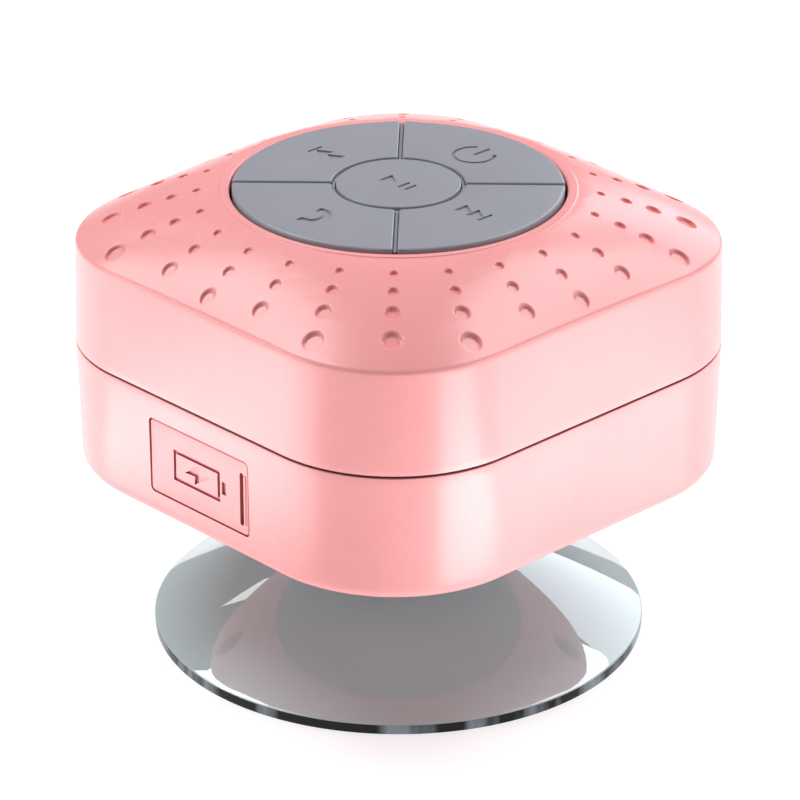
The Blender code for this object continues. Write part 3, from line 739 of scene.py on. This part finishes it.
def ease_outer_rim(cap):
    """Widen the rounding along the pad's outer rim, fading out towards the grooves."""
    for vert in cap.data.vertices:
        x, y, z = vert.co
        radius = hypot(x, y)
        inward, down = KEY_RADIUS - radius, KEY_TOP - z
        if max(inward, down) > KEY_ROUND + 0.01 * MM:
            continue
        from_groove = radius * abs(cos(2 * atan2(y, x))) / 2
        share = min(max((from_groove - 1.0 * MM) / (1.4 * MM), 0.0), 1.0)
        wider = 1 + 1.3 * share
        eased = (KEY_RADIUS - inward * wider) / radius
        vert.co = (x * eased, y * eased, KEY_TOP - down * wider)


def key_cap(name):
    """One key with its post and its engraved symbol."""
    x, y = KEY_PLACES[name]
    if name == "play_pause":
        outline = around(CENTRE_KEY_RADIUS, 96)
    else:
        turn = Matrix.Rotation(radians(KEY_TURNS[name]), 2)
        outline = soften([tuple(turn @ point) for point in key_outline()], 0.5 * MM)
    cap = prism("key_cap_" + name, outline, KEY_TOP - 1.8 * MM, KEY_TOP, KEY_ROUND, 0.1 * MM)
    ease_outer_rim(cap)
    join(cap, cylinders("post", [(x, y)], POST_RADIUS, KEY_LOW.z, KEY_TOP - 1.3 * MM))
    engrave(cap, glyph(name), KEY_TOP - GLYPH_DEPTH, KEY_TOP + 1 * MM)
    smooth(cap, 40)
    piece(cap, "key_%s_press" % name, "key_silicone", "key_" + name)


def keypad():
    """The five keys and the sheet with a hole for each key's post."""
    for name in KEY_PLACES:
        key_cap(name)
    profile = [(KEY_RADIUS, WEB_TOP_Z), (KEY_RADIUS, WEB_LOW.z), (POST_HOLE_RADIUS, WEB_LOW.z),
               (POST_HOLE_RADIUS, WEB_TOP_Z)]
    web = turned("keypad_sheet", profile, True)
    outer = [place for name, place in KEY_PLACES.items() if name != "play_pause"]
    cut(web, cylinders("holes", outer, POST_HOLE_RADIUS, WEB_LOW.z - 1 * MM,
                       WEB_TOP_Z + 1 * MM))
    smooth(web)
    piece(web, "case", "dark_silicone", "keypad_web")
    keypad_ribs()


def keypad_ribs():
    """The ribs that rise from the sheet and fill the grooves between the keys."""
    middle = CENTRE_KEY_RADIUS + GROOVE / 2
    half = 0.2 * MM
    low = KEY_TOP - 2.2 * MM
    edge = 0.08 * MM
    profile = [(middle + half, RIB_TOP, edge), (middle + half, low), (middle - half, low),
               (middle - half, RIB_TOP, edge)]
    ribs = turned("keypad_ribs", rounded_profile(profile), True, 128)
    for index in range(4):
        rib = box("rib", (middle, -half, low), (KEY_RADIUS - 0.15 * MM, half, RIB_TOP))
        rib.data.transform(Matrix.Rotation(pi / 2 * index + pi / 4, 4, "Z"))
        join(ribs, rib)
    smooth(ribs)
    piece(ribs, "case", "key_silicone")


# Port cover and socket

def shade_walls(obj, deepest, highest, margin):
    """Give the upright walls of the cover's recesses a darker pink: painted shade, standing in for
    the shade their depth would give.
    """
    obj.data.materials.append(MATERIALS["pink_painted_shade"])
    for face in obj.data.polygons:
        x, y, z = face.center
        inside = (COVER_LOW.x - margin < x < COVER_HIGH.x + margin
                  and COVER_LOW.z - margin < z < COVER_HIGH.z + margin)
        if inside and deepest < -y < highest and abs(face.normal.y) < 0.5:
            face.material_index = 1


def battery_glyph():
    """A battery outline with a bolt in it, generic for charging. Millimetres."""
    line, half_w, half_h = 0.5, 4.5, 2.2
    shapes = [
        rectangle(-half_w, half_w, -half_h, -half_h + line),
        rectangle(-half_w, half_w, half_h - line, half_h),
        rectangle(-half_w, -half_w + line, -half_h, half_h),
        rectangle(half_w - line, half_w, -half_h, half_h),
        rectangle(half_w + 0.35, half_w + 1.1, -0.9, 0.9),
        [(0.5, 1.5), (-2.3, -0.4), (-0.3, -0.3), (-0.5, -1.5), (2.3, 0.4), (0.3, 0.3)],
    ]
    x = PORT_X - 0.5 * MM
    return [[(x + u * MM, PORT_Z + v * MM) for u, v in shape] for shape in shapes]


def port_cover():
    """The cover with its plug, finger groove, lip and symbol."""
    face = 35.85 * MM
    outline = rounded_rectangle(COVER_LOW.x, COVER_HIGH.x, COVER_LOW.z, COVER_HIGH.z, 0.6 * MM)
    cover = facing(prism("charging_flap", outline, face - 1.45 * MM, face, 0.28 * MM, 0.1 * MM))
    plug = rounded_rectangle(PORT_X - 3.9 * MM, PORT_X + 3.9 * MM, PORT_Z - 1.6 * MM,
                             PORT_Z + 1.6 * MM, 0.5 * MM)
    join(cover, facing(prism("plug", plug, face - 2.75 * MM, face - 1.0 * MM, 0, 0.25 * MM)))
    groove = rounded_rectangle(8.3 * MM, 9.0 * MM, 29.4 * MM, 36.9 * MM, 0.34 * MM, 5)
    cut(cover, facing(prism("groove", groove, face - 0.9 * MM, face + 1 * MM)))
    lip = rounded_rectangle(9.12 * MM, 9.5 * MM, 29.6 * MM, 36.7 * MM, 0.18 * MM, 5)
    join(cover, facing(prism("lip", lip, face - 0.4 * MM, face + 0.13 * MM, 0.09 * MM)))
    engrave(cover, battery_glyph(), face - 0.36 * MM, face + 1 * MM, facing)
    smooth(cover, 40)
    piece(cover, "cover", "pink_rubber", "port_cover")
    # Painted shade: the upright walls of the groove, lip and symbol get a darker pink material.
    shade_walls(cover, face - 0.95 * MM, face - 0.02 * MM, -0.5 * MM)


def port_tongue():
    """The tongue inside the charging socket, with five contacts under it."""
    front = PORT_LOW.y
    tongue = box("socket_tongue", (PORT_X - 2.4 * MM, front + 0.7 * MM, PORT_Z - 0.05 * MM),
                 (PORT_X + 2.4 * MM, front + 4.3 * MM, PORT_Z + 0.5 * MM), 0.08 * MM, 2)
    piece(smooth(tongue), "case", "black_plastic")

    def build(bm):
        for index in range(5):
            middle = Matrix.Translation((PORT_X + (index - 2) * 0.85 * MM, front + 2.5 * MM,
                                         PORT_Z - 0.08 * MM))
            size = Matrix.Diagonal((0.42 * MM, 3.2 * MM, 0.06 * MM, 1.0))
            bmesh.ops.create_cube(bm, size=1.0, matrix=middle @ size)
    piece(mesh_object("socket_contacts", build), "case", "port_steel",
          material="gold_contact")


# Underside

# Rows of holes: distance from the axis in millimetres, number
GRILLE_ROWS = ((10.8, 16), (13.8, 22), (16.8, 28), (19.8, 32), (22.6, 38))


def rear_grille():
    """The perforated disc round the socket in which the cup's head turns."""
    low, top = BASE_Z, BASE_Z + 1.2 * MM
    profile = [
        (0.0, 30.3 * MM), (6.5 * MM, 30.3 * MM, 0.3 * MM), (6.5 * MM, top, 0.2 * MM),
        (GRILLE_RADIUS, top, 0.15 * MM), (GRILLE_RADIUS, low, 0.4 * MM),
        (3.8 * MM, low, 0.25 * MM), (3.8 * MM, 26.3 * MM), (5.0 * MM, 26.3 * MM),
        (5.0 * MM, 29.1 * MM), (0.0, 29.1 * MM),
    ]
    grille = turned("speaker_grille", rounded_profile(profile), False, 128)
    for radius, count in GRILLE_ROWS:
        cut(grille, cylinders("holes", around(radius * MM, count), 0.8 * MM, low - 1 * MM,
                              top + 1 * MM, 20))
    smooth(grille)
    piece(grille, "case", "grille_plastic", "rear_grille")


def case_screws():
    """Pan-head screws with a cross recess, at the bottom of the four deep recesses."""
    for index, (x, y) in enumerate(corners(CASE_SCREW_AT)):
        name = "case_screw_%d" % (index + 1)
        low, high = (corner.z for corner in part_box(name))
        profile = [
            (0.0, high), (0.6 * MM, high), (1.2 * MM, high - 0.8 * MM),
            (1.2 * MM, low + 1.7 * MM), (2.5 * MM, low + 1.7 * MM, 0.1 * MM),
            (2.5 * MM, low + 0.7 * MM, 0.2 * MM), (1.9 * MM, low, 0.5 * MM), (0.0, low),
        ]
        screw = turned("cross_" + name, rounded_profile(profile), False, 48)
        for wide, deep in ((1.5, 0.22), (0.22, 1.5)):
            cut(screw, box("arm", (-wide * MM, -deep * MM, low - 1 * MM),
                           (wide * MM, deep * MM, low + 1.0 * MM)))
        screw.data.transform(Matrix.Translation((x, y, 0)))
        smooth(screw)
        piece(screw, "case", "screw_steel", name)


CUP_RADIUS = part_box("suction_cup")[1].x
CUP_RIM_Z = 1.44 * MM
CUP_SEAT_RADIUS = 29.0 * MM
CUP_HOLLOW_Z = 6.6 * MM


def cup_top(radius):
    """Height of the cup's upper face at a distance from its axis."""
    inward = CUP_RADIUS - radius
    return CUP_RIM_Z + 0.516 * inward - 3.42 * inward ** 2


def suction_cup():
    """The cup with its stem and the head that turns in the grille's socket."""
    profile = [
        (0.0, 28.7 * MM), (3.4 * MM, 28.7 * MM, 0.3 * MM), (4.6 * MM, 27.7 * MM, 0.3 * MM),
        (4.6 * MM, 26.7 * MM, 0.15 * MM), (3.4 * MM, 26.7 * MM, 0.2 * MM),
        (3.4 * MM, 23.9 * MM, 0.2 * MM), (5.4 * MM, 23.9 * MM, 0.4 * MM), (5.4 * MM, 17.0 * MM),
        (5.55 * MM, 16.0 * MM), (5.9 * MM, 15.0 * MM), (6.5 * MM, 14.1 * MM),
        (7.2 * MM, 13.3 * MM), (8.0 * MM, 12.7 * MM),
    ]
    points = rounded_profile(profile)
    for step in range(30):
        radius = (9.0 + 0.8 * step) * MM
        points.append((radius, cup_top(radius)))
    edge = [
        (CUP_RADIUS - 0.12 * MM, cup_top(CUP_RADIUS - 0.12 * MM), 0.1 * MM),
        (CUP_RADIUS, CUP_RIM_Z - 0.08 * MM, 0.12 * MM),
        (CUP_RADIUS, 0.0, 0.25 * MM),
        (CUP_SEAT_RADIUS, 0.0, 0.3 * MM),
    ]
    points += rounded_profile([points[-1]] + edge + [(CUP_SEAT_RADIUS - 1 * MM, 0.45 * MM)])[1:-1]
    for index in range(1, 17):
        across = CUP_SEAT_RADIUS * (1 - index / 17)
        points.append((across, CUP_HOLLOW_Z * (1 - (across / CUP_SEAT_RADIUS) ** 2)))
    points.append((0.0, CUP_HOLLOW_Z))
    cup = turned("vacuum_cup", points, False, 192)
    smooth(cup)
    piece(cup, "cup", "cup_vinyl", "suction_cup")
    # The rim band's material carries painted glints in its colour.
    cup.data.materials.append(MATERIALS["cup_rim"])
    for face in cup.data.polygons:
        if face.center.xy.length > CUP_RADIUS - 0.05 * MM:
            face.material_index = 1


# Materials

SOCKETS = {
    "metallic": "Metallic",
    "specular": "Specular IOR Level",
}


class Surface:
    """A procedural material: a Principled shader and the textures that vary it."""

    def __init__(self, name, **sockets):
        self.material = bpy.data.materials.new(name)
        self.material.use_nodes = True
        self.tree = self.material.node_tree
        self.shader = self.tree.nodes["Principled BSDF"]
        self.place = self.tree.nodes.new("ShaderNodeTexCoord").outputs["Object"]
        for socket, value in sockets.items():
            self.shader.inputs[SOCKETS[socket]].default_value = value

    def node(self, kind, **settings):
        made = self.tree.nodes.new(kind)
        for name, value in settings.items():
            setattr(made, name, value)
        return made

    def link(self, source, target):
        self.tree.links.new(source, target)

    def stretched(self, scale):
        mapping = self.node("ShaderNodeMapping")
        mapping.inputs["Scale"].default_value = scale
        self.link(self.place, mapping.inputs["Vector"])
        return mapping.outputs["Vector"]

    def texture(self, kind, scale, place, **settings):
        made = self.node(kind, **settings)
        made.inputs["Scale"].default_value = scale
        self.link(place, made.inputs["Vector"])
        return made

    def noise(self, per_mm, detail=3.0, stretch=None, distortion=0.0):
        place = self.stretched(stretch) if stretch else self.place
        made = self.texture("ShaderNodeTexNoise", per_mm / MM, place)
        made.inputs["Detail"].default_value = detail
        made.inputs["Distortion"].default_value = distortion
        return made.outputs["Fac"]

    def cells(self, per_mm, feature="F1"):
        made = self.texture("ShaderNodeTexVoronoi", per_mm / MM, self.place, feature=feature)
        return made.outputs["Distance"]

    def bands(self, per_mm, direction):
        """Waves across one axis. The wave texture has 10 / pi of them for a scale of 1."""
        made = self.texture("ShaderNodeTexWave", per_mm / MM * pi / 10, self.place,
                            bands_direction=direction)
        return made.outputs["Fac"]

    def range(self, value, low, high, low_in=0.3, high_in=0.7):
        made = self.node("ShaderNodeMapRange")
        made.inputs["From Min"].default_value = low_in
        made.inputs["From Max"].default_value = high_in
        made.inputs["To Min"].default_value = low
        made.inputs["To Max"].default_value = high
        self.link(value, made.inputs["Value"])
        return made.outputs["Result"]

    def maths(self, operation, first, second):
        made = self.node("ShaderNodeMath", operation=operation)
        for index, value in enumerate((first, second)):
            if isinstance(value, (int, float)):
                made.inputs[index].default_value = value
            else:
                self.link(value, made.inputs[index])
        return made.outputs[0]

    def mix(self, factor, first, second):
        made = self.node("ShaderNodeMix", data_type="RGBA")
        self.link(factor, made.inputs["Factor"])
        for socket, value in (("A", first), ("B", second)):
            inputs = [item for item in made.inputs if item.name == socket and item.type == "RGBA"]
            if isinstance(value, tuple):
                inputs[0].default_value = (*value, 1.0)
            else:
                self.link(value, inputs[0])
        return [item for item in made.outputs if item.type == "RGBA"][0]

    def colour(self, factor, first, second):
        self.link(self.mix(factor, first, second), self.shader.inputs["Base Color"])

    def rough(self, factor, low, high):
        self.link(self.range(factor, low, high), self.shader.inputs["Roughness"])

    def bump(self, height, depth_mm):
        made = self.node("ShaderNodeBump")
        made.inputs["Distance"].default_value = depth_mm * MM
        self.link(height, made.inputs["Height"])
        self.link(made.outputs["Normal"], self.shader.inputs["Normal"])


def plain(name, dark, light, patch, rough, grain, depth, sockets=None):
    """A material whose colour drifts in patches and whose fine grain sets its roughness."""
    surface = Surface(name, **(sockets or {}))
    surface.colour(surface.range(surface.noise(patch), 0.0, 1.0), dark, light)
    fine = surface.noise(grain, 5.0)
    surface.rough(fine, *rough)
    surface.bump(fine, depth)
    return surface.material


METAL = {"metallic": 1.0}
# Darker and lighter colour, patches per mm, roughness, grains per mm and their depth in mm,
# then any sockets that differ from the shader's own
PLAIN = {
    "pink_plastic": ((0.89, 0.343, 0.345), (0.92, 0.372, 0.374),
        0.05, (0.262, 0.276), 4.0, 0.0006, {"specular": 0.4}),
    "pink_rubber": ((0.90, 0.325, 0.33), (0.93, 0.35, 0.355),
        0.08, (0.32, 0.35), 5.0, 0.001, {"specular": 0.4}),
    # A darker copy of the pink: painted shade for the walls of recesses
    "pink_painted_shade": ((0.42, 0.13, 0.13), (0.46, 0.15, 0.15), 0.08, (0.50, 0.60), 5.0, 0.001),
    "key_silicone": ((0.29, 0.29, 0.33), (0.305, 0.305, 0.345),
        0.1, (0.34, 0.44), 6.0, 0.004, {"specular": 0.5}),
    "dark_silicone": ((0.020, 0.020, 0.024), (0.030, 0.030, 0.034), 0.1, (0.55, 0.70), 6.0, 0.006),
    "black_plastic": ((0.012, 0.012, 0.013), (0.022, 0.022, 0.024), 0.4, (0.35, 0.55), 8.0, 0.004),
    "ivory_plastic": ((0.62, 0.58, 0.47), (0.70, 0.66, 0.55), 0.5, (0.35, 0.5), 8.0, 0.003),
    "black_rubber": ((0.020, 0.011, 0.012), (0.032, 0.019, 0.020),
        0.3, (0.6, 0.8), 6.0, 0.01, {"specular": 0.25}),
    "black_foam": ((0.012, 0.012, 0.012), (0.045, 0.045, 0.047), 2.5, (0.85, 1.0), 4.0, 0.08),
    "double_sided_tape": ((0.66, 0.60, 0.46), (0.76, 0.72, 0.60), 0.4, (0.6, 0.85), 5.0, 0.02),
    "red_insulation": ((0.42, 0.012, 0.012), (0.52, 0.02, 0.018), 0.4, (0.35, 0.5), 5.0, 0.006),
    "black_insulation": ((0.010, 0.010, 0.011), (0.02, 0.02, 0.022), 0.4, (0.35, 0.5), 5.0, 0.006),
    "ferrite": ((0.035, 0.036, 0.040), (0.07, 0.07, 0.075), 1.2, (0.5, 0.75), 6.0, 0.02),
    "cone_paper": ((0.020, 0.020, 0.022), (0.05, 0.05, 0.052), 1.5, (0.7, 0.9), 7.0, 0.03),
    "dust_cap_plastic": ((0.02, 0.02, 0.022), (0.032, 0.032, 0.035), 0.6, (0.3, 0.45), 6.0, 0.006),
    "grille_plastic": ((0.17, 0.17, 0.19), (0.21, 0.21, 0.23), 0.1, (0.38, 0.5), 6.0, 0.006),
    "screw_steel": ((0.45, 0.45, 0.46), (0.62, 0.62, 0.63), 0.8, (0.22, 0.42), 7.0, 0.006, METAL),
    "plated_steel": ((0.52, 0.53, 0.52), (0.66, 0.67, 0.66), 0.3, (0.25, 0.4), 5.0, 0.006, METAL),
    "frame_steel": ((0.03, 0.03, 0.033), (0.05, 0.05, 0.054),
        0.3, (0.35, 0.5), 6.0, 0.01, {"metallic": 0.5}),
    "capsule_metal": ((0.55, 0.55, 0.56), (0.70, 0.70, 0.71), 0.8, (0.2, 0.32), 9.0, 0.003, METAL),
    "port_steel": ((0.55, 0.56, 0.57), (0.68, 0.69, 0.70), 0.8, (0.18, 0.32), 9.0, 0.003, METAL),
    "gold_contact": ((0.75, 0.52, 0.18), (0.86, 0.62, 0.25), 1.5, (0.2, 0.32), 9.0, 0.002, METAL),
}


def board_laminate():
    """Green solder mask with lighter tracks under it and small tinned pads."""
    surface = Surface("board_laminate", specular=0.5)
    tracks = surface.maths("LESS_THAN", surface.cells(0.45, "DISTANCE_TO_EDGE"), 0.045)
    pads = surface.maths("LESS_THAN", surface.cells(0.33), 0.14)
    mask = surface.mix(surface.noise(0.4), (0.006, 0.075, 0.035), (0.010, 0.105, 0.05))
    mask = surface.mix(tracks, mask, (0.02, 0.19, 0.085))
    surface.colour(pads, mask, (0.62, 0.60, 0.54))
    surface.link(surface.range(pads, 0.0, 0.9, 0.0, 1.0), surface.shader.inputs["Metallic"])
    surface.rough(surface.noise(4.0), 0.22, 0.38)
    surface.bump(surface.maths("ADD", tracks, pads), 0.02)
    return surface.material


def battery_foil():
    """Crinkled silver pouch foil."""
    surface = Surface("battery_foil", metallic=0.9)
    crinkle = surface.noise(0.35, 6.0, distortion=0.8)
    surface.colour(surface.range(crinkle, 0.0, 1.0), (0.52, 0.53, 0.55), (0.70, 0.71, 0.73))
    surface.rough(surface.noise(2.0), 0.25, 0.42)
    surface.bump(crinkle, 0.12)
    return surface.material


def copper():
    """Enamelled wire, wound in close turns about Z."""
    surface = Surface("copper", metallic=1.0)
    turns = surface.bands(6.0, "Z")
    surface.colour(turns, (0.45, 0.16, 0.06), (0.80, 0.36, 0.17))
    surface.rough(surface.noise(3.0), 0.22, 0.38)
    surface.bump(turns, 0.05)
    return surface.material


def cloth(name, dark, light, threads):
    """A square weave of threads across X and Y."""
    surface = Surface(name)
    weave = surface.maths("MULTIPLY", surface.bands(threads, "X"), surface.bands(threads, "Y"))
    surface.colour(weave, dark, light)
    surface.rough(surface.noise(3.0), 0.75, 0.95)
    surface.bump(weave, 0.06)
    return surface.material


def cup_vinyl():
    """Smoke-grey vinyl, glossy as glass, with faint clouds."""
    surface = Surface("cup_vinyl", specular=1.0)
    clouds = surface.range(surface.noise(0.035, 2.0), 0.0, 1.0)
    surface.colour(clouds, (0.48, 0.61, 0.62), (0.51, 0.64, 0.65))
    surface.rough(surface.noise(3.0, 4.0), 0.004, 0.014)
    surface.bump(surface.noise(0.12, 2.0), 0.002)
    return surface.material


def cup_rim():
    """The edge of the cup: nearly black, with painted glints along it: paler streaks in its colour
    that stand in for reflected light.
    """
    surface = Surface("cup_rim", specular=0.25)
    # Painted glints: pale streaks in the base colour for reflected light
    painted_glints = surface.noise(0.16, 3.0, (1.0, 1.0, 0.15))
    painted_glints = surface.range(painted_glints, 0.0, 1.0, 0.50, 0.66)
    surface.colour(painted_glints, (0.006, 0.006, 0.008), (0.30, 0.34, 0.38))
    surface.rough(surface.noise(3.0, 4.0), 0.03, 0.07)
    surface.bump(surface.noise(0.3, 2.0), 0.01)
    return surface.material


MATERIALS = {name: plain(name, *settings) for name, settings in PLAIN.items()}
MATERIALS["board_laminate"] = board_laminate()
MATERIALS["battery_foil"] = battery_foil()
MATERIALS["copper"] = copper()
MATERIALS["spider_cloth"] = cloth("spider_cloth", (0.25, 0.15, 0.04), (0.58, 0.42, 0.15), 2.2)
MATERIALS["mesh_cloth"] = cloth("mesh_cloth", (0.004, 0.004, 0.004), (0.05, 0.05, 0.052), 3.0)
MATERIALS["cup_vinyl"] = cup_vinyl()
MATERIALS["cup_rim"] = cup_rim()

# CAD nodes that are shown as they are, and what they are made of
INSIDE = {
    "cover_anchor": "pink_rubber",
    "surround": "black_rubber",
    "driver_gasket": "black_foam",
    "control_chip": "black_plastic",
    "amplifier_chip": "black_plastic",
    "circuit_board": "board_laminate",
    "charging_board": "board_laminate",
    "microphone": "capsule_metal",
    "battery_pack": "battery_foil",
    "battery_tape": "double_sided_tape",
    "charging_port": "port_steel",
    "driver_frame": "frame_steel",
    "front_plate": "plated_steel",
    "yoke": "plated_steel",
    "magnet": "ferrite",
    "voice_coil": "copper",
    "cone": "cone_paper",
    "dust_cap": "dust_cap_plastic",
    "spider": "spider_cloth",
    "grille_mesh": "mesh_cloth",
}


def paint_inside():
    """Give every CAD node that stays visible its procedural material."""
    for name in KEY_PLACES:
        INSIDE["switch_" + name] = "black_plastic"
        INSIDE["switch_button_" + name] = "ivory_plastic"
    for index in range(1, 5):
        INSIDE["board_screw_%d" % index] = "screw_steel"
        INSIDE["driver_screw_%d" % index] = "screw_steel"
    for lead in ("speaker", "battery", "charging"):
        INSIDE[lead + "_wire_positive"] = "red_insulation"
        INSIDE[lead + "_wire_negative"] = "black_insulation"
    for name, material in INSIDE.items():
        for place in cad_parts[name].material_slots:
            place.material = MATERIALS[material]


# Surroundings

CAMERA_AZIMUTH = 46.237
CAMERA_ELEVATION = 24.6625
CAMERA_DISTANCE = 558.4 * MM
CAMERA_TARGET = Vector((0.0, 0.0, PARTING_Z))
CAMERA_LENS = 189.1
CAMERA_SHIFT = (0.0019, -0.0832)

# Softboxes: degrees to the right of the camera and above the table, size, power, any tint
SOFTBOX_DISTANCE = 0.9
SOFTBOXES = {
    "left_softbox": (-85, 18, (0.5, 0.4), 1.7),
    "right_softbox": (80, 18, (0.5, 0.4), 1.5),
    "high_left_softbox": (-114, 54, (0.42, 0.50), 5.0),
    "high_right_softbox": (121, 52, (0.42, 0.50), 4.2),
    "streak_light": (-148, 33, (0.06, 0.17), 0.11),
    "back_softbox": (149, 22, (0.48, 0.48), 2.4, (0.86, 0.94, 1.0)),
}
# Panels on the table: place to the right and to the front, turn from the camera's bearing,
# length and width, power
TABLE_PANELS = (
    (0.077, 0.094, 38, (0.090, 0.056), 0.150),
    (0.120, 0.024, 90, (0.085, 0.046), 0.027),
    (-0.114, 0.045, 112, (0.085, 0.085), 0.118),
)


def floor():
    surface = Surface("white_floor")
    surface.colour(surface.noise(0.01), (0.54, 0.54, 0.54), (0.56, 0.56, 0.56))
    surface.rough(surface.noise(0.5), 0.85, 0.95)
    surface.shader.inputs["Emission Color"].default_value = (1.0, 1.0, 1.0, 1.0)
    surface.shader.inputs["Emission Strength"].default_value = 0.64

    def build(bm):
        bmesh.ops.create_grid(bm, x_segments=1, y_segments=1, size=6.0)
    sheet = mesh_object("floor", build, recalculate=False)
    sheet.location.z = -0.03 * MM
    sheet.data.materials.append(surface.material)


def area_light(name, place, target, size, power, colour=(1.0, 1.0, 1.0)):
    light = bpy.data.lights.new(name, "AREA")
    light.shape = "RECTANGLE"
    light.size, light.size_y = size
    light.energy = power
    light.color = colour
    obj = link(bpy.data.objects.new(name, light))
    obj.location = place
    obj.rotation_euler = (Vector(target) - Vector(place)).to_track_quat("-Z", "Y").to_euler()
    return obj


def around_camera(turn, rise, distance, height=0.04):
    """A point at an angle to the right of the camera's own bearing, as seen from above."""
    bearing = radians(CAMERA_AZIMUTH + turn)
    return Vector((sin(bearing) * cos(radians(rise)) * distance,
                   -cos(bearing) * cos(radians(rise)) * distance,
                   height + sin(radians(rise)) * distance))


def table_light(right, front, turn, size, power):
    """A panel lying on the table, facing up, out of shot, for the glossy walls to reflect."""
    place = around_camera(0, 0, front, 2 * MM) + around_camera(90, 0, right, 0.0)
    panel = area_light("table_panel", place, place, size, power)
    panel.rotation_euler = (pi, 0.0, radians(CAMERA_AZIMUTH - 90 + turn))
    panel.visible_camera = False


def lights():
    world = bpy.data.worlds.new("studio")
    bpy.context.scene.world = world
    world.use_nodes = True
    background = world.node_tree.nodes["Background"]
    background.inputs["Color"].default_value = (0.95, 0.97, 1.0, 1.0)
    background.inputs["Strength"].default_value = 0.15
    middle = (0, 0, 0.045)
    for name, (turn, rise, *settings) in SOFTBOXES.items():
        area_light(name, around_camera(turn, rise, SOFTBOX_DISTANCE), middle, *settings)
    for panel in TABLE_PANELS:
        table_light(*panel)


def camera():
    eye = bpy.data.cameras.new("camera")
    eye.sensor_width = 36.0
    eye.lens = CAMERA_LENS
    eye.shift_x, eye.shift_y = CAMERA_SHIFT
    eye.clip_start = 0.01
    eye.clip_end = 20.0
    eye.dof.use_dof = False
    obj = link(bpy.data.objects.new("camera", eye))
    turn, rise = radians(CAMERA_AZIMUTH), radians(CAMERA_ELEVATION)
    back = Vector((sin(turn) * cos(rise), -cos(turn) * cos(rise), sin(rise)))
    obj.location = CAMERA_TARGET + back * CAMERA_DISTANCE
    obj.rotation_euler = (-back).to_track_quat("-Z", "Y").to_euler()
    bpy.context.scene.camera = obj


def main():
    bpy.context.scene.view_settings.view_transform = "Standard"
    upper_shell()
    lower_shell()
    case_seal()
    keypad()
    port_cover()
    port_tongue()
    rear_grille()
    case_screws()
    suction_cup()
    paint_inside()
    floor()
    lights()
    camera()


main()
